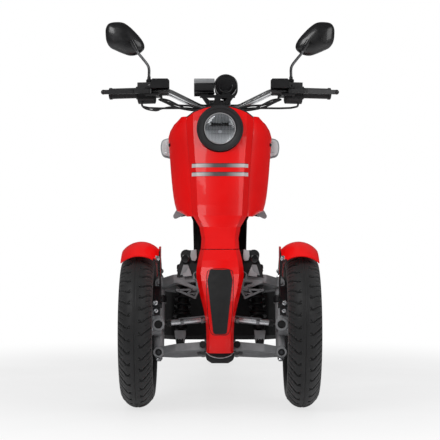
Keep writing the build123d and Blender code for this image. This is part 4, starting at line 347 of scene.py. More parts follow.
class Mesh:
    """Faces gathered from simple shapes. Places are in metres; radii, profiles and sizes in mm."""

    def __init__(self):
        self.verts = []
        self.faces = []

    def rings(self, rings, closed=False, cap=True):
        """Skin over rings of equal counts of points."""
        count = len(rings[0])
        faces = []
        for i in range(len(rings) if closed else len(rings) - 1):
            here, after = i * count, (i + 1) % len(rings) * count
            for j in range(count):
                k = (j + 1) % count
                faces.append((here + j, here + k, after + k, after + j))
        if cap and not closed:
            faces.append(tuple(range(count))[::-1])
            faces.append(tuple((len(rings) - 1) * count + j for j in range(count)))
        start = len(self.verts)
        self.verts += [point for ring in rings for point in ring]
        self.faces += [[start + index for index in face] for face in faces]
        return self

    def lathe(self, centre, axis, profile, steps=32, cap=True):
        """Profile of (along, radius) turned about an axis through centre."""
        axis = Vector(axis).normalized()
        side = axis.orthogonal().normalized()
        up = axis.cross(side)
        centre = Vector(centre)
        return self.rings([
            [centre + (axis * along + (side * a + up * b) * radius) * MM for a, b in spokes(steps)]
            for along, radius in profile
        ], cap=cap)

    def tube(self, points, radius, steps=12, closed=False):
        """Round tube through points; radius is one number or one for each point."""
        count = len(points)
        radii = radius if hasattr(radius, "__len__") else [radius] * count
        rings = []
        side = None
        for i, point in enumerate(points):
            ahead = points[(i + 1) % count] if closed or i + 1 < count else point
            behind = points[i - 1] if closed or i else point
            run = (ahead - behind).normalized()
            side = (side - run * side.dot(run)).normalized() if side else run.orthogonal().normalized()
            up = run.cross(side)
            rings.append([point + (side * a + up * b) * radii[i] * MM for a, b in spokes(steps)])
        return self.rings(rings, closed=closed)

    def block(self, centre, size, axes=((1, 0, 0), (0, 1, 0), (0, 0, 1))):
        """Box of that size along three directions."""
        x, y, z = [Vector(axis) * length * MM / 2 for axis, length in zip(axes, size)]
        corners = ((-1, -1), (1, -1), (1, 1), (-1, 1))
        return self.rings([[centre + x * i + y * j + z * k for i, j in corners] for k in (-1, 1)])

    def bolt(self, place, axis, radius, head=None, washer=True, socket=False):
        """Hexagon or socket screw head on its washer."""
        head = head or radius * 0.8
        base = Vector(place)
        if washer:
            lip, rim = radius * 0.2, radius * 1.35
            self.lathe(base, axis, [(0, rim), (radius * 0.16, rim), (lip, radius * 1.28), (lip, 0.1)], 24)
            base = base + Vector(axis).normalized() * lip * MM
        if socket:
            hole = head * 0.4
            profile = [(0, radius), (head * 0.85, radius), (head, radius * 0.85), (head, radius * 0.52)]
            return self.lathe(base, axis, profile + [(hole, radius * 0.48), (hole, 0.1)], 18)
        profile = [(0, radius), (head * 0.8, radius), (head, radius * 0.82), (head, 0.1)]
        return self.lathe(base, axis, profile, 6)

    def screw(self, hit, normal):
        """Socket screw of a body panel, sunk a little."""
        return self.bolt(hit - normal * 0.3 * MM, normal, 4.8, head=2.8, socket=True)

    def make(self, name, material, body="frame", bevel=0.0, smooth=True, slot=None):
        """The new piece, which rides on a body, with an optional small bevel on its edges."""
        mesh = bpy.data.meshes.new(name)
        work = bmesh.new()
        points = [work.verts.new(v) for v in self.verts]
        for face in self.faces:
            try:
                work.faces.new([points[index] for index in face])
            except ValueError:
                continue  # the face is there already
        bmesh.ops.remove_doubles(work, verts=work.verts, dist=1e-6)
        bmesh.ops.recalc_face_normals(work, faces=work.faces)
        if bevel:
            sharp = [edge for edge in work.edges if edge.is_manifold and edge.calc_face_angle(0) > 0.6]
            bmesh.ops.bevel(work, geom=sharp, offset=bevel * MM, segments=2, affect="EDGES", profile=0.5)
        work.to_mesh(mesh)
        work.free()
        if smooth:
            mesh.shade_smooth()
            mesh.set_sharp_from_angle(angle=math.radians(38))
        mesh.materials.append(material)
        made = placed(name, mesh)
        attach(made, body)
        return made


def tree_of(*names):
    """Surface of CAD nodes for laying pieces on."""
    verts, faces = [], []
    for name in names:
        mesh = nodes[name].data
        start = len(verts)
        verts += [v.co.copy() for v in mesh.vertices]
        faces += [[start + index for index in polygon.vertices] for polygon in mesh.polygons]
    return BVHTree.FromPolygons(verts, faces)


def strike(tree, origin, direction):
    """Place and outward normal where a ray meets a surface; both are None where it misses."""
    direction = Vector(direction)
    hit, normal, index, distance = tree.ray_cast(Vector(origin), direction)
    if hit and normal.dot(direction) > 0:
        normal = -normal
    return hit, normal


def from_front(tree, x, z):
    return strike(tree, (x, FAR_FRONT, z), BACK)


def from_back(tree, x, z):
    return strike(tree, (x, FAR_BACK, z), AHEAD)


def traced(tree, origins, direction, lift):
    """Line where rays along one direction meet a surface, raised towards them by mm."""
    hits = [strike(tree, origin, direction)[0] for origin in origins]
    return [hit - direction * lift * MM for hit in hits if hit]


def bend(a, b, c, d, t):
    """Point between b and c on a smooth curve through a, b, c and d."""
    square = 2 * a - 5 * b + 4 * c - d
    return 0.5 * ((2 * b) + (c - a) * t + square * t * t + (3 * b - a - 3 * c + d) * t ** 3)


def spline(points, steps=8):
    """Open smooth line through points."""
    line = [points[0] * 2 - points[1]] + points + [points[-1] * 2 - points[-2]]
    spans = [line[i:i + 4] for i in range(len(line) - 3)]
    return [bend(*span, step / steps) for span in spans for step in range(steps)] + [line[-2]]


def rounded(outline, steps=6):
    """Smooth closed loop of (x, z) in metres, from corners in millimetres."""
    corners = [Vector(corner) * MM for corner in outline]
    spans = [(corners[i - 3], corners[i - 2], corners[i - 1], corners[i]) for i in range(len(corners))]
    return [bend(*span, step / steps) for span in spans for step in range(steps)]


def loop_rings(loop, levels, side=1, centre=None):
    """Rings from a closed (x, z) loop. A level is a share of its size, a y and an (x, z) shift."""
    cx, cz = centre or [sum(values) / len(loop) for values in zip(*loop)]
    rings = []
    for share, y, *shift in levels:
        x, z = shift or (0, 0)
        rings.append([
            Vector((side * (cx + (a - cx) * share + x), y, cz + (b - cz) * share + z)) for a, b in loop
        ])
    return rings


def slab(outline, side, y, lean, thickness):
    """Near and far ring of a flat plate from (x, z) corners in mm; it leans back above z 420."""
    near = [at(side * a, y + (b - 420) * lean, b) for a, b in outline]
    return [near, [point + BACK * thickness * MM for point in near]]


def studs(name, body, material, tree, places, radius, **kind):
    """Bolt heads on a surface seen from the front, at (x, z) places in millimetres."""
    mesh = Mesh()
    for x, z in places:
        hit, normal = from_front(tree, x * MM, z * MM)
        mesh.bolt(hit + BACK * 0.3 * MM, AHEAD, radius, **kind)
    mesh.make(name, material, body, bevel=0.3, slot="bright_metal")


# ---- tyres with tread
def groove(gap, half):
    """1 in a groove and 0 beside it, with a short slope between."""
    return max(0.0, min(1.0, (half - gap) / 0.0009 + 0.5))


def tread_depth(across, phase, pitch):
    """Depth of the cut at a distance from the centre line and a phase of the pattern."""
    def gap_to(shift):
        line = (phase + shift) % pitch
        return min(line, pitch - line)

    depth = 0.0022 * groove(across, 0.0016)  # centre line
    if 0.012 < across < 0.047:  # long slanted grooves
        wide = 0.0012 + 0.0016 * min(1.0, (across - 0.012) / 0.014)
        depth = max(depth, 0.0042 * groove(gap_to(max(across, 0.021) * 0.85), wide))
    if 0.013 < across < 0.023:  # the short leg of each V
        depth = max(depth, 0.0036 * groove(gap_to(0.036 - across * 0.85), 0.0016))
    if 0.032 < across < 0.046:  # fine cuts in the shoulder
        depth = max(depth, 0.0024 * groove(gap_to(pitch * 0.5 + across * 0.85), 0.0011))
    if 0.0445 < across < 0.047:
        depth = max(depth, 0.0008)
    return depth


def tyre_skin(name, body, node, x, y, z, steps, pitch):
    """Tyre with cut tread: its section is read from the CAD tyre, and the grooves are lowered."""
    tree = tree_of(node)
    low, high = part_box(node)
    outer = (high[2] - low[2]) / 2
    section_radius = outer - 0.0415
    heart = Vector((x, y, z + section_radius))
    count = 112
    section = []
    for k in range(count):
        turn = -math.pi / 2 + 2 * math.pi * k / count
        direction = Vector((math.cos(turn), 0, math.sin(turn)))
        hit, normal, index, reach = tree.ray_cast(heart, direction)
        section.append(direction * (reach if hit else 0.03))
    rings = []
    girth = 2 * math.pi * outer
    pitch = girth / round(girth / pitch)
    for i in range(steps):
        angle = 2 * math.pi * i / steps
        ring = []
        for point in section:
            height = section_radius + point.z
            across = abs(point.x)
            depth = 0.0
            if height > outer - 0.035:
                phase = (girth * i / steps + (pitch / 2 if point.x > 0 else 0)) % pitch
                depth = tread_depth(across, phase, pitch)
            radius = height - depth
            inward = depth * 0.5 * (point.x / max(across, 1e-6))
            up, back = polar(radius, angle)
            ring.append((x + point.x - inward, y - back, z + up))
        rings.append(ring)
    made = Mesh().rings(rings, closed=True).make(name, TYRE, body)
    made.data.set_sharp_from_angle(angle=math.radians(50))
    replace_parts(made, node)


for word, side in SIDES:
    names = f"tread_{word}", f"front_wheel_{word}", f"front_tyre_{word}"
    tyre_skin(*names, side * WHEEL_X, FRONT_Y, FRONT_Z, 800, 0.0365)
tyre_skin("tread_rear", "rear_wheel", "rear_tyre", 0, REAR_Y, REAR_Z, 760, 0.042)

# ---- bolts and joints at the front wheels
for word, side in SIDES:
    knuckle = f"knuckle_{word}"
    caliper, fender = tree_of(f"brake_caliper_{word}"), tree_of(f"front_fender_{word}")
    spots = [(side * 189.5, 318), (side * 189.5, 294)]
    studs(f"caliper_bolts_{word}", knuckle, STEEL, caliper, spots, 5.5, socket=True)
    studs(f"stay_bolts_{word}", knuckle, STEEL, fender, [(side * 184, 448), (side * 184, 402)], 6)
    profile = [(-2, 12.5), (1, 12.5), (1.5, 10.2), (3.8, 9.8), (4.2, 0.1)]
    made = Mesh().lathe(from_axle(side, 284.5), (side, 0, 0), profile, 24)
    made.make(f"axle_cap_{word}", STEEL, knuckle)
    # nuts at both ends of the kingpin
    nuts = Mesh()
    profile = [(-4, 9.5), (3, 9.5), (3.5, 8), (6, 7.5), (6.5, 0.1)]
    for z, up in ((0.386, COLUMN_UP), (0.1437, -COLUMN_UP)):
        y = FRONT_Y + KINGPIN_SET_BACK + (z - FRONT_Z) * math.tan(RAKE)
        nuts.lathe((side * BALL_X * MM, y, z), up, profile, 6)
    nuts.make(f"kingpin_nuts_{word}", STEEL, knuckle)

boss_rings, boss_seats, bolts = Mesh(), Mesh(), Mesh()
arms = tree_of("suspension_arms")
for word, side in SIDES:
    hit, normal = from_front(arms, side * 0.184, 0.1655)
    seat = hit + AHEAD * MM
    profile = [(0, 15.5), (2, 15.5), (3, 14.2), (3, 10.8), (2, 10.2)]
    boss_rings.lathe(seat, AHEAD, profile, 40, cap=False)
    boss_seats.lathe(seat, AHEAD, [(1.5, 10.1), (2, 10.1), (2, 0.1)], 32)
    bolts.bolt(seat + AHEAD * 2 * MM, AHEAD, 5.5, washer=False)
boss_rings.make("arm_boss_rings", FORGED)
boss_seats.make("arm_boss_seats", BLACK_SATIN)
bolts.make("arm_bolts", GREY_CAST, bevel=0.3)

linkage = tree_of("linkage_carrier", "suspension_arms", "shock_absorbers")
spots = [(side * x, z) for word, side in SIDES for x, z in ((104, 447), (120, 196))]
studs("pivot_bolts", "frame", BLACK_SATIN, linkage, spots, 8.5)

HOUSING = (
    (201, 273.5), (201.8, 246), (194, 238.5), (176.5, 238.5),
    (171.5, 246), (171, 269.5), (175, 275.5), (198, 276.5),
)
for word, side in SIDES:
    knuckle = f"knuckle_{word}"
    hit, normal = from_front(tree_of(knuckle), side * BALL_X * MM, BALL_Z * MM)
    seat = hit + AHEAD * 0.5 * MM
    profile = [(0, 18.5), (5, 18.5), (6.5, 17), (6.5, 12.5), (3, 12)]
    Mesh().lathe(seat, AHEAD, profile, 40, cap=False).make(f"ball_ring_{word}", FORGED, knuckle)
    made = Mesh().lathe(seat, AHEAD, [(1.2, 12.1), (4, 11.8), (5.5, 10.2), (6.2, 0.1)], 36)
    made.make(f"ball_cap_{word}", GRIP, knuckle)
    levels = [(share, hit.y + y * MM) for share, y in ((1, 16), (1, 1.5), (0.985, 0.3), (0.95, -0.2))]
    made = Mesh().rings(loop_rings(rounded(HOUSING, 5), levels, side, (0.1855, 0.2575)))
    made.make(f"ball_housing_{word}", FORGED, knuckle)

DISC_X = 209.8  # outer face of the brake disc
for word, side in SIDES:
    wheel = f"front_wheel_{word}"
    inward = (-side, 0, 0)
    holes = Mesh()
    for radius, shift in ((94, 0), (84, 0.5)):
        for k in range(18):
            place = from_axle(side, DISC_X, *polar(radius, 2 * math.pi * (k + shift) / 18))
            holes.lathe(place, inward, [(0, 3.2), (0.4, 3), (0.4, 0.1)], 12)
    holes.make(f"disc_holes_{word}", BLACK_SATIN, wheel)
    bolts = Mesh()
    for k in range(5):
        place = from_axle(side, DISC_X, *polar(52, 2 * math.pi * k / 5 + 0.3))
        bolts.bolt(place, inward, 4.5, socket=True)
    bolts.make(f"disc_bolts_{word}", STEEL, wheel)
    profile = [(0, 4.2), (18, 3.6), (20, 4.4), (30, 4.4), (32, 0.1)]
    made = Mesh().lathe(from_axle(side, 236, 0, 146), (side * 0.75, 0, -0.66), profile, 16)
    made.make(f"valve_{word}", GRIP, wheel)

# ---- lines on the cowl and the nose
cowl = tree_of("front_panel", "side_wings")
gasket = []
for k in range(33):
    # down from above until a ray meets the cowl's top edge
    for step in range(60):
        hit, normal = from_front(cowl, -0.104 + 0.208 * k / 32, 0.925 - 0.0015 * step)
        if hit and hit.y < FRONT_Y + 0.24:
            gasket.append(hit + Vector((0, 1, 0.5)) * MM)
            break
Mesh().tube(gasket, 2.2, 8).make("cowl_gasket", GRIP)

INSERT = (
    (0, 416.5), (26, 414), (38.5, 400), (38.5, 330), (33.5, 262), (24, 226.5), (0, 223.5),
    (-24, 226.5), (-33.5, 262), (-38.5, 330), (-38.5, 400), (-26, 414),
)
nose = tree_of("nose_panel", "nose_insert")
line = traced(nose, [(x, FAR_FRONT, z) for x, z in rounded(INSERT, 8)], BACK, 0.2)
Mesh().tube(line, 0.8, 8, closed=True).make("insert_frame", DARK_PLASTIC)


def laid(name, material, z, steps, lift, slot=None):
    """Thin plate across the cowl that follows its surface; steps are heights above z."""
    loops = []
    for step in steps:
        hits = [from_front(cowl, -0.0865 + 0.173 * k / 60, (z + step) * MM) for k in range(61)]
        top = [hit + normal * lift * MM for hit, normal in hits]
        under = [hit - normal * 0.6 * MM for hit, normal in hits]
        loops.append(top + under[::-1])
    Mesh().rings(loops).make(name, material, slot=slot)


for label, z in (("upper", 729), ("lower", 702)):
    laid(f"stripe_{label}", STRIPE, z, (-5.6, -5, 0, 5, 5.6), 1.1)
    laid(f"stripe_shadow_{label}", BLACK_SATIN, z, (5.8, 6.6, 7.2), 0.6, "black_plastic")

# ---- signals
SIGNAL_Y = 262  # front face of the front signals
REAR_SIGNAL_Y = 1404
SIGNAL_BASE = (
    (146, 763), (170, 761.5), (184, 768), (189.5, 786),
    (189.5, 803), (184, 817), (168, 823.5), (146, 822),
)
SIGNAL_LENS = (
    (147, 768), (170, 767), (182, 773), (186.8, 788),
    (186.8, 801), (182, 814), (168, 820.5), (147, 819),
)
WEDGE = (
    (146, 588.5), (170, 603.5), (175.5, 608.5), (180, 602),
    (188.5, 586.5), (187.5, 579), (182, 573.5), (176, 574.5),
)


def pillow(name, material, outline, side, near, far, dome):
    """Outline in (x, z), thick along Y from near to far, with a domed front."""
    depths = (
        (1, far), (1, near + dome * 0.9), (0.97, near + dome * 0.45), (0.86, near + dome * 0.12),
        (0.6, near), (0.25, near - dome * 0.06),
    )
    levels = [(share, FRONT_Y + y * MM) for share, y in depths]
    return Mesh().rings(loop_rings(rounded(outline), levels, side)).make(name, material)


for word, side in SIDES:
    base = f"signal_base_{word}", GREY_PLASTIC, SIGNAL_BASE
    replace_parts(pillow(*base, side, SIGNAL_Y + 10, SIGNAL_Y + 34, 6), "turn_signals")
    pillow(f"signal_lens_{word}", CLEAR_SIGNAL, SIGNAL_LENS, side, SIGNAL_Y, SIGNAL_Y + 14, 9)
    ribs = Mesh()
    for k in range(5):
        z = 777 + 8.5 * k
        points = [(x, SIGNAL_Y - 0.4 + 0.022 * max(0, x - 168) ** 2, z) for x in range(150, 181, 6)]
        ribs.tube(route(side, points), 0.9, 8)
    ribs.make(f"signal_ribs_{word}", SILVER)
    # wedge-shaped rear signal on its stalk
    near = [at(side * a, REAR_SIGNAL_Y - 12 + (190 - a) * 0.1, b) for a, b in WEDGE]
    far = [at(side * (a * 0.995 + 0.6), REAR_SIGNAL_Y + 20, b * 0.994 + 3.6) for a, b in WEDGE]
    Mesh().rings([near, far]).make(f"rear_signal_{word}", GREY_PLASTIC, bevel=1.2, smooth=False)
    near = [at(side * (a * 0.94 + 10.2), REAR_SIGNAL_Y + 19.5, b * 0.94 + 35.5) for a, b in WEDGE]
    far = [at(side * (a * 0.88 + 20.4), REAR_SIGNAL_Y + 26, b * 0.88 + 71) for a, b in WEDGE]
    Mesh().rings([near, far]).make(f"rear_signal_lens_{word}", CLEAR_SIGNAL, bevel=0.8)
    stems = Mesh().tube(route(side, [(120, SIGNAL_Y + 26, 792), (150, SIGNAL_Y + 22, 792)]), 8, 16)
    y = REAR_SIGNAL_Y + 4
    line = route(side, [(80, y, 600), (118, y, 598), (140, y, 592), (158, y, 589.5)])
    stems.tube(line, [6.2, 6.8, 7.8, 8.5], 16)
    stems.make(f"signal_stems_{word}", GRIP)

# ---- hoses at the bar
HOSES = (
    (3.4, (196, 292, 950), (172, 276, 938), (144, 268, 924),
     (112, 268, 916.5), (80, 274, 913.5), (28, 288, 920)),
    (3.0, (192, 300, 953), (166, 292, 947), (136, 286, 932),
     (106, 282, 918), (76, 284, 916), (26, 292, 924)),
)
for word, side in SIDES:
    hoses = Mesh()
    for radius, *points in HOSES:
        hoses.tube(spline(route(side, points), 6), radius, 10)
    hoses.make(f"bar_hoses_{word}", GRIP, BAR)
cable = Mesh()
points = (
    (251, 300, 951), (249, 288, 928), (232, 280, 917), (205, 276, 914),
    (160, 272, 923.5), (110, 272, 916.5), (80, 274, 912.5), (28, 286, 917),
)
cable.tube(spline(route(-1, points), 8), 2.6, 10)
cable.tube(route(-1, [(216, 277, 914.5), (205, 276, 914), (194, 275, 915.5)]), [3.4, 4.2, 3.4], 12)
cable.make("switch_cable", GRIP, BAR)


# ---- headlight
def in_lamp(x, y, z):
    """Place from the middle of the lamp, in millimetres."""
    return at(x, 119 + y, 844 + z)


profile = [
    (-4, 71.2), (6, 72.2), (9.5, 71.4), (11.5, 69.5), (11.8, 64), (10.5, 55.5), (7.5, 50.5), (-2, 48.2),
]
Mesh().lathe(in_lamp(0, 6, 0), AHEAD, profile, 96, cap=False).make("headlight_bezel", BEZEL)
profile = [(0.5, 48.2), (-1.2, 45), (-3, 30), (-3.8, 12), (-4, 0.5)]
Mesh().lathe(in_lamp(0, 0, 0), AHEAD, profile, 96, cap=False).make("headlight_bowl", REFLECTOR)
quarter = [math.pi / 2 * k / 10 for k in range(11)]
outer = [(10 * math.cos(turn) + 1, 47 * math.sin(turn) + 0.2) for turn in quarter]
inner = [(along - 1.6, max(0.1, radius - 1.2)) for along, radius in reversed(outer)]
made = Mesh().lathe(in_lamp(0, 0, 0), AHEAD, outer + inner, 72, cap=False)
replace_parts(made.make("headlight_glass", LENS), "headlight_lens")
profile = [(0, 48.2), (5.2, 48.4), (6, 47.4), (5.2, 46.4), (0, 46.6)]
Mesh().lathe(in_lamp(0, 1.2, 0), AHEAD, profile, 80, cap=False).make("lens_rim", RIM_GREY)
bar = Mesh()
for k in range(15):
    bar.block(in_lamp(4 * k - 28, -1.2, 12.5), (3.1, 3, 10.8 if k % 2 else 8.8))
bar.block(in_lamp(0, -0.2, 12.5), (64, 2, 7.8))
bar.make("lamp_bar", BLACK_GLOSS, bevel=0.3)
bulbs = Mesh()
for word, side in SIDES:
    profile = [(0, 3.6), (2.2, 3.4), (3.2, 1.8), (3.4, 0.1)]
    bulbs.lathe(in_lamp(side * 30.5, -0.8, 13.5), AHEAD, profile, 20)
bulbs.lathe(in_lamp(0, 1, -9.5), AHEAD, [(0, 5.8), (1.2, 5.8), (2, 4), (2.6, 2.2), (2.8, 0.1)], 28)
bulbs.make("lamp_bulbs", DIAL_WHITE)
lines = Mesh()
for z, half in ((-4, 40), (-16.5, 34)):
    lines.tube([in_lamp(half * (k / 10 - 1), -0.6, z) for k in range(21)], 0.55, 6)
lines.make("lamp_lines", SILVER_DARK)

# ---- display and gauge
instruments = tree_of("instruments")
BOX_X = -0.0502  # middle of the display's box
GAUGE_X, GAUGE_Z = 0.0185, 0.9905
face_y = from_front(instruments, -0.050, 0.9975)[0].y
made = Mesh().block(Vector((BOX_X, face_y + 0.018, 1.0072)), (65.5, 38.4, 15))
made.make("display_cap", LIGHT_PLASTIC, BAR, bevel=2.2)
seams = Mesh()
seams.block(Vector((BOX_X, face_y + 0.019, 0.9975)), (66.2, 40.5, 2.8))
seams.block(Vector((BOX_X, face_y + 0.019, 0.9700)), (66, 40, 3))
seams.make("display_seams", BLACK_GLOSS, BAR, bevel=0.8)
rings = Mesh()
hit, normal = from_front(instruments, GAUGE_X, GAUGE_Z)
profile = [(0, 37.5), (4, 37.5), (5.2, 35.5), (4.8, 34), (4, 33)]
rings.lathe(hit + BACK * 4 * MM, AHEAD, profile, 64, cap=False)
profile = [(0, 22.5), (3.6, 22.5), (4.2, 21.5), (4.2, 18.5), (3, 18)]
rings.lathe(hit + BACK * 2 * MM, AHEAD, profile, 48, cap=False)
rings.make("gauge_back_rings", BLACK_GLOSS, BAR)

# rider's side: dial with ticks and a needle, and a flat display glass
across = Vector((-1, 0, 0))


def ray_at(degrees, upward):
    turn = math.radians(degrees)
    return across * math.cos(turn) + upward * math.sin(turn)


hit, normal = from_back(instruments, GAUGE_X, GAUGE_Z)
upward = normal.cross(across).normalized()
seat = hit + normal * 0.4 * MM
made = Mesh().lathe(seat, normal, [(0, 32), (0.8, 32), (0.8, 0.1)], 64)
made.make("gauge_face", DISPLAY, BAR)
ticks = Mesh()
for k in range(25):
    ray = ray_at(225 - 270 * k / 24, upward)
    size = (3, 0.7, 0.5) if k % 4 else (5.2, 1.1, 0.5)
    ticks.block(seat + (normal + ray * 27.5) * MM, size, (ray, ray.cross(normal), normal))
ticks.make("gauge_ticks", DIAL_WHITE, BAR)
needle = Mesh()
ray = ray_at(225, upward)
pivot = seat + normal * 2.2 * MM
needle.tube([pivot - ray * 6 * MM, pivot + ray * 22 * MM], [1.1, 0.4], 8)
needle.lathe(seat + normal * 0.8 * MM, normal, [(0, 4.2), (1.8, 4.2), (2.6, 3.4), (2.6, 0.1)], 24)
needle.make("gauge_needle", RED_LENS, BAR)
profile = [(0, 36.5), (3, 36.5), (4, 35.2), (3.5, 33.5), (1.2, 32.5)]
Mesh().lathe(seat, normal, profile, 64, cap=False).make("gauge_bezel", CHROME, BAR)
hit, normal = from_back(instruments, -0.052, 0.978)
axes = (across, normal.cross(across).normalized(), normal)
made = Mesh().block(hit + normal * 0.6 * MM, (46, 30, 1.4), axes)
made.make("display_glass", DISPLAY, BAR, bevel=0.4)

# ---- mirrors
TEARDROP = (
    (366.5, 1176), (368.5, 1158), (365, 1128), (352, 1106), (330, 1094), (304, 1083), (282, 1076.5),
    (262, 1078.5), (245.5, 1086.5), (232.5, 1100), (232.5, 1117), (243, 1136), (264, 1160), (288, 1182),
    (310, 1194), (338, 1195), (357, 1190),
)
MIRROR_Y = 303  # back edge of the shell
STALK_LINE = (
    (228.5, 297.5, 996), (228.5, 297.5, 1026), (228.5, 296.5, 1048), (233.5, 293.5, 1062),
    (248.5, 285.5, 1081), (264.5, 276.5, 1101), (282.5, 272, 1137),
)
outline = [(244.5 + (a - 232.5) * 0.908, 1091.5 + (b - 1076.5) * 0.9156) for a, b in TEARDROP]
mirror_loop = rounded(outline)
shell_levels = []
for k in range(12):
    t = k / 11
    share = math.sqrt(1 - t ** 2.4) if k < 11 else 0.04
    shell_levels.append((share, FRONT_Y + (MIRROR_Y - 26.5 * t) * MM, 6 * t * MM, -4 * t * MM))


def mirror_part(name, material, side, levels, cap=True):
    """Closed rings of the mirror's outline, with y in mm behind the shell's edge."""
    levels = [(share, FRONT_Y + (MIRROR_Y + y) * MM) for share, y in levels]
    Mesh().rings(loop_rings(mirror_loop, levels, side), cap=cap).make(name, material, BAR)


for word, side in SIDES:
    shell = Mesh().rings(loop_rings(mirror_loop, shell_levels, side))
    shell = shell.make(f"mirror_shell_{word}", MIRROR_SHELL, BAR)
    if side > 0:
        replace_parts(shell, "mirror_glasses", "mirrors")
    levels = ((0.985, 0), (0.985, 2.2), (0.955, 3), (0.94, 2.2))
    mirror_part(f"mirror_rim_{word}", BLACK_PLASTIC, side, levels, cap=False)
    levels = ((0.95, 0.4), (0.945, 1.7), (0.5, 2.1), (0.02, 2.2))
    mirror_part(f"mirror_pane_{word}", MIRROR, side, levels)
    made = Mesh().tube(spline(route(side, STALK_LINE), 8), 4.4, 16)
    made.make(f"mirror_stalk_{word}", STALK, BAR)
    joint = Mesh()
    line = route(side, [(266.5, 276, 1105), (275.5, 272, 1122), (283.5, 271, 1138)])
    joint.tube(line, [6.2, 7.8, 6.2], 16)
    profile = [(0, 10.5), (10, 10.5), (14, 9.8), (14.5, 8.5), (22, 8.5), (22.5, 9.8)]
    profile += [(30, 9.8), (32, 6.2), (40, 5.6)]
    joint.lathe(at(side * 228.5, 297.5, 984), UP, profile, 6)
    joint.lathe(at(side * 228.5, 297.5, 982), UP, [(0, 12.5), (6, 12.5), (7.5, 11.2)], 28)
    joint.make(f"mirror_joint_{word}", BLACK_GLOSS, BAR, slot="black_metal")

# ---- tie rods
PITMAN = at(0, -10.931, 267)
EYE_LIFT = 10.3  # the two eyes sit one above the other
for word, side in SIDES:
    ball = at(side * BALL_X, -24.61, BALL_Z)
    run = (ball - PITMAN).normalized()
    start = PITMAN + run * 34 * MM
    total = (ball - start).length / MM

    def along(distance, offset=(0, 0, 0)):
        return start + (run * distance + Vector(offset)) * MM

    rod = Mesh().lathe(start, run, [(0, 7.8), (4, 9.2), (total - 37.5, 9.2), (total - 36.5, 8.2)], 32)
    rod = rod.make(f"tie_rod_{word}", SILVER, "tie_rods")
    if side > 0:
        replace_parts(rod, "tie_rods")
    profile = [(total - 36.8, 8.5)]
    for k in range(3):
        fold, crest = total - 36.2 + 4 * k, 11.6 - 0.6 * k
        profile += [(fold, 9.8), (fold + 0.9, crest), (fold + 2.1, crest), (fold + 3.3, 8.8)]
    profile += [(total - 23.8, 6)]
    Mesh().lathe(start, run, profile, 32).make(f"tie_rod_boot_{word}", GRIP, "tie_rods")
    end = Mesh().lathe(start, run, [(total - 26, 5), (total - 2, 5), (total, 0.1)], 24)
    lift = COLUMN_UP * side * EYE_LIFT * MM
    eye = PITMAN + lift
    profile = [(0, 7.9), (0, 12.2), (1, 12.9), (9, 12.9), (10, 12.2), (10, 7.9)]
    end.lathe(eye - COLUMN_UP * 5 * MM, COLUMN_UP, profile, 40, cap=False)
    line = [eye + run * 11.5 * MM, eye + run * 26 * MM, along(4) + lift * 0.3, along(10)]
    end.tube(line, [4.6, 4.6, 6.6, 7.6], 20)
    end.make(f"tie_rod_eye_{word}", BLACK_SATIN, "tie_rods")
    clamp = Mesh()
    profile = [(0, 9.4), (0, 11.2), (3.5, 11.8), (7.5, 11.8), (10, 10.8), (10, 9.4)]
    clamp.lathe(along(total - 75), run, profile, 6, cap=False)
    clamp.lathe(along(16), run, [(0, 9.4), (0, 11.2), (8, 11.2), (8, 9.4)], 6, cap=False)
    line = [along(total - 98, (0, -4, 9.8)), along(total - 60, (0, -4, 9.8)), along(10, (0, -4, 10.4))]
    clamp.tube(line, 2.8, 12)
    clamp.make(f"tie_rod_nuts_{word}", SILVER_DARK, "tie_rods")

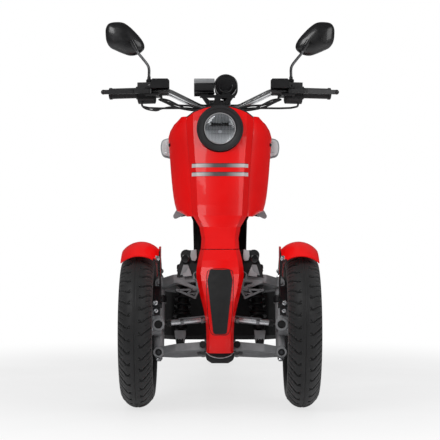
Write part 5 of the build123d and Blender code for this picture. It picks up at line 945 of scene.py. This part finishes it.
# ---- plates and brackets at the linkage
PLATE_Y = 46
PLATE_LEAN = 0.36
PLATE = (
    (111.6, 454.8), (102, 462.5), (88.5, 466.4), (70, 473.3), (64, 466), (64, 391.5), (130, 387.9),
    (128.5, 411), (120.8, 434),
)
LUGS = (
    ((88.5, 468.7), (71.5, 472), (70, 446), (74.6, 436.4), (86.2, 438.7), (90, 452)),
    ((95.4, 420.2), (90.5, 411), (83.9, 392.5), (111.6, 389.3), (112.5, 398), (103, 404)),
)
TRUSS_Y = -12
TRUSS_BARS = (
    (2.8, (127.7, 351), (64, 353.5)), (3.2, (127.7, 350.5), (74.6, 327.9)), (2.8, (76, 327.5), (64, 348)),
    (2.4, (97.7, 340.8), (83.9, 352.5)), (1.8, (97.7, 339.5), (69, 343)),
)
tower = tree_of("linkage_carrier")
for word, side in SIDES:
    made = Mesh().rings(slab(PLATE, side, PLATE_Y, PLATE_LEAN, 5))
    made.make(f"tower_plate_{word}", BLACK_SATIN, bevel=1.4, smooth=False)
    lugs = Mesh()
    for outline in LUGS:
        lugs.rings(slab(outline, side, PLATE_Y - 12, PLATE_LEAN, 12.5))
    lugs.make(f"tower_lugs_{word}", LUG_GREY, bevel=1.2, smooth=False)
    truss = Mesh()
    for half, a, b in TRUSS_BARS:
        tip, tail = at(side * a[0], TRUSS_Y, a[1]), at(side * b[0], TRUSS_Y, b[1])
        run = (tail - tip).normalized()
        size = ((tail - tip).length / MM + half * 1.6, 5, half * 2)
        truss.block((tip + tail) / 2, size, (run, BACK, run.cross(BACK)))
    for x, z, radius, rim in ((127.7, 350.8, 4.6, 3.6), (75, 328.5, 4.2, 3.4)):
        profile = [(0, radius), (6.5, radius), (7.2, rim), (7.2, 0.1)]
        truss.lathe(at(side * x, TRUSS_Y + 3, z), AHEAD, profile, 24)
    truss.block(at(side * 78, TRUSS_Y + 11, 338.5), (5, 22, 5))
    truss.block(at(side * 122, TRUSS_Y + 14, 352), (5, 28, 5))
    truss.make(f"truss_bracket_{word}", TRUSS_GREY, bevel=0.6)
    hit, normal = from_front(tower, side * 0.1055, 0.4435)
    hit.y = min(hit.y, FRONT_Y + (PLATE_Y - 2) * MM) + 1 * MM
    profile = [(0, 12.5), (4, 12.5), (5, 11.2), (5, 7.5), (7.5, 7), (7.8, 0.1)]
    Mesh().lathe(hit, AHEAD, profile, 36).make(f"tower_bolt_{word}", BLACK_GLOSS, slot="black_metal")

# skid block and grey hoop under the nose
SKID = (
    (42.5, 170), (42.5, 152), (39, 142), (24.5, 133.5),
    (-24.5, 133.5), (-39, 142), (-42.5, 152), (-42.5, 170),
)
Mesh().rings(slab(SKID, 1, -30, 0, 40)).make("nose_block", BLACK_PLASTIC, bevel=4)
points = (
    (-41.5, -60, 170), (-30, -64, 160), (-14, -66, 154.5), (0, -67, 153.2),
    (14, -66, 154.5), (30, -64, 160), (41.5, -60, 170),
)
Mesh().tube(spline(route(1, points), 6), 1.4, 8).make("nose_hoop", SILVER)


# ---- seat cushion
CLOTH_FRAMES = 14
SWELL = 0.006  # furthest the cloth may move


def cushion():
    """The CAD cushion remeshed, stuffed by a cloth simulation and covered in leather."""
    mesh = nodes["seat_cushion"].data.copy()
    made = placed("seat_pad", mesh)
    centre = sum((v.co for v in mesh.vertices), Vector()) / len(mesh.vertices)
    low_z = min(v.co.z for v in mesh.vertices)
    for v in mesh.vertices:
        v.co.x = centre.x + (v.co.x - centre.x) * 0.965
        v.co.y = centre.y + (v.co.y - centre.y) * 0.98
        v.co.z = low_z + 0.001 + (v.co.z - low_z) * 0.93
    bpy.ops.object.select_all(action="DESELECT")
    bpy.context.view_layer.objects.active = made
    made.select_set(True)
    remesh = made.modifiers.new("remesh", "REMESH")
    remesh.mode = "VOXEL"
    remesh.voxel_size = 0.008
    bpy.ops.object.modifier_apply(modifier="remesh")
    cloth = made.modifiers.new("cloth", "CLOTH")
    settings = cloth.settings
    settings.use_pressure = True
    settings.uniform_pressure_force = 4.0
    settings.effector_weights.gravity = 0.0
    settings.quality = 5
    cloth.point_cache.frame_start = 1
    cloth.point_cache.frame_end = CLOTH_FRAMES
    for number in range(1, CLOTH_FRAMES + 1):
        scene.frame_set(number)
    shaped = made.evaluated_get(bpy.context.evaluated_depsgraph_get()).to_mesh()
    moved = [v.co.copy() for v in shaped.vertices]
    made.modifiers.remove(cloth)
    scene.frame_set(1)
    for v, new in zip(made.data.vertices, moved):
        step = new - v.co
        v.co = v.co + (step if step.length < SWELL else step.normalized() * SWELL)
        v.co.z = max(v.co.z, low_z + 0.0005)
    work = bmesh.new()
    work.from_mesh(made.data)
    for _ in range(3):
        bmesh.ops.smooth_vert(
            work, verts=work.verts, factor=0.4, use_axis_x=True, use_axis_y=True, use_axis_z=True
        )
    work.to_mesh(made.data)
    work.free()
    made.data.shade_smooth()
    made.data.materials.clear()
    made.data.materials.append(LEATHER)
    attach(made, "seat")
    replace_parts(made, "seat_cushion")
    return made.data


pad = cushion()
faces = [list(polygon.vertices) for polygon in pad.polygons]
pad_tree = BVHTree.FromPolygons([v.co.copy() for v in pad.vertices], faces)


def seam_line(places):
    """Line over (x, y) places in mm on the cushion's top, where it isn't too steep for a seam."""
    line = []
    for x, y in places:
        hit, normal = strike(pad_tree, at(x, y, 1200), DOWN)
        if hit and normal.z > 0.2:
            line.append(hit + UP * 0.3 * MM)
    return line


seams = Mesh()
shares = [k / 40 for k in range(41)]
for y in (1010, 1135, 1262, 1385):
    places = [(250 * t - 125, y + 10 * math.cos(math.pi * (t - 0.5))) for t in shares]
    seams.tube(seam_line(places), 1.6, 6)
for word, side in SIDES:
    places = [(side * (98 + 12 * math.sin(math.pi * t)), 905 + 540 * t) for t in shares]
    seams.tube(seam_line(places), 1.4, 6)
seams.make("seat_seams", THREAD, "seat")

# ---- ribs of the mat and the tail light
mat = tree_of("floor_mat")
ribs = Mesh()
for k in range(27):
    places = [at(300 * k / 26 - 150, 385 + 410 * step / 11, 500) for step in range(12)]
    ribs.tube(traced(mat, places, DOWN, -0.2), 1.3, 6)
ribs.make("mat_ribs", MAT_RIBS)
tail_light = tree_of("tail_light")
ribs = Mesh()
for k in range(9):
    places = [(-0.048 + 0.012 * k, FAR_BACK, 0.662 + 0.028 * step / 6) for step in range(7)]
    ribs.tube(traced(tail_light, places, AHEAD, 0.2), 1.3, 6)
ribs.make("tail_ribs", RED_LENS)

# ---- screws in the body panels
PANEL_SCREWS = (  # (y, z) on both sides
    ("side_panels", (930, 640), (1120, 645), (1300, 640)),
    ("belly_pan", (420, 300), (600, 300), (780, 300)),
    ("side_wings", (235, 800)),
)
screws = Mesh()
for word, side in SIDES:
    for node, *spots in PANEL_SCREWS:
        tree = tree_of(node)
        for y, z in spots:
            screws.screw(*strike(tree, at(side * 600, y, z), (-side, 0, 0)))
screws.make("panel_screws", BLACK_SATIN)
fender = tree_of("rear_fender")
screws = Mesh()
for x in (-0.062, 0.062):
    screws.bolt(*from_back(fender, x, 0.56), 4.2)
screws.make("plate_screws", STEEL, bevel=0.3)
shield = tree_of("leg_shield")
screws = Mesh()
for x in (-0.095, 0.095):
    for z in (0.60, 0.80):
        screws.screw(*from_back(shield, x, z))
screws.make("shield_screws", BLACK_SATIN)

# ---- floor, light, camera
FADE_FROM, FADE_TO = 0.7, 1.9  # distance over which the floor turns from lit to plain white


def mixed(tree, share, first, second):
    """Mix of two shaders; the second shows by the share."""
    mix = tree.nodes.new("ShaderNodeMixShader")
    for source, target in zip((share, first.outputs[0], second.outputs[0]), mix.inputs):
        tree.links.new(source, target)
    return mix


mesh = bpy.data.meshes.new("floor")
mesh.from_pydata([(-30, -30, 0), (30, -30, 0), (30, 60, 0), (-30, 60, 0)], [], [(0, 1, 2, 3)])
placed("floor", mesh)
ground = Shader("floor_white", (0.86, 0.86, 0.87), 0.2, specular=0.9)
ground.vary_rough(ground.noise(3), 0.16, 0.24)
mesh.materials.append(ground.material)
path = ground.node("ShaderNodeLightPath")
glow = ground.node("ShaderNodeEmission", Color=(1, 1, 1, 1), Strength=1.0)
camera_share = ground.node("ShaderNodeMath", operation="MULTIPLY")
place = ground.node("ShaderNodeNewGeometry")
apart = ground.node("ShaderNodeVectorMath", operation="LENGTH")
ground.link(place.outputs["Position"], apart.inputs[0])
share = ground.ramp(apart.outputs["Value"], FADE_FROM, FADE_TO, 0.72, 1.0)
share.node.interpolation_type = "SMOOTHSTEP"
ground.link(path.outputs["Is Camera Ray"], camera_share.inputs[0])
ground.link(share, camera_share.inputs[1])
shown = mixed(ground.tree, camera_share.outputs[0], ground.bsdf, glow)
ground.link(shown.outputs[0], ground.tree.nodes["Material Output"].inputs["Surface"])

world = bpy.data.worlds.new("studio")
scene.world = world
world.use_nodes = True
sky = world.node_tree


def background(strength):
    """White light of one strength."""
    made = sky.nodes.new("ShaderNodeBackground")
    made.inputs["Color"].default_value = (1, 1, 1, 1)
    made.inputs["Strength"].default_value = strength
    return made


seen = sky.nodes.new("ShaderNodeLightPath")
gloss = mixed(sky, seen.outputs["Is Glossy Ray"], background(0.42), background(0.1))
blend = mixed(sky, seen.outputs["Is Camera Ray"], gloss, background(1.0))
sky.links.new(blend.outputs[0], sky.nodes["World Output"].inputs["Surface"])


def softbox(name, place, target, size, power, shine=True):
    """Rectangular lamp; without shine it doesn't show in reflections."""
    lamp = bpy.data.lights.new(name, "AREA")
    lamp.shape = "RECTANGLE"
    lamp.size, lamp.size_y = size
    lamp.energy = power
    made = placed(name, lamp)
    made.visible_glossy = shine
    made.location = place
    made.rotation_euler = (Vector(target) - Vector(place)).to_track_quat("-Z", "Y").to_euler()


softbox("key", (-2.4, -3.6, 3.4), (0, -0.5, 0.6), (2.2, 2.2), 95)
softbox("fill", (3.0, -3.2, 2.4), (0, -0.5, 0.5), (2.4, 2.4), 60)
softbox("top", (0, 0.3, 4.2), (0, 0, 0.5), (3.5, 3.5), 60, False)
softbox("back", (0.5, 4.2, 2.6), (0, 0.3, 0.6), (3.0, 2.0), 40, False)

lens = bpy.data.cameras.new("camera")
lens.lens = 111.8
lens.sensor_width = 36
lens.shift_y = 0.018
camera = placed("camera", lens)
camera.location = (0, FRONT_Y - 4.1, 0.537)
camera.rotation_euler = (math.radians(90), 0, 0)
scene.camera = camera
scene.view_settings.view_transform = "Standard"
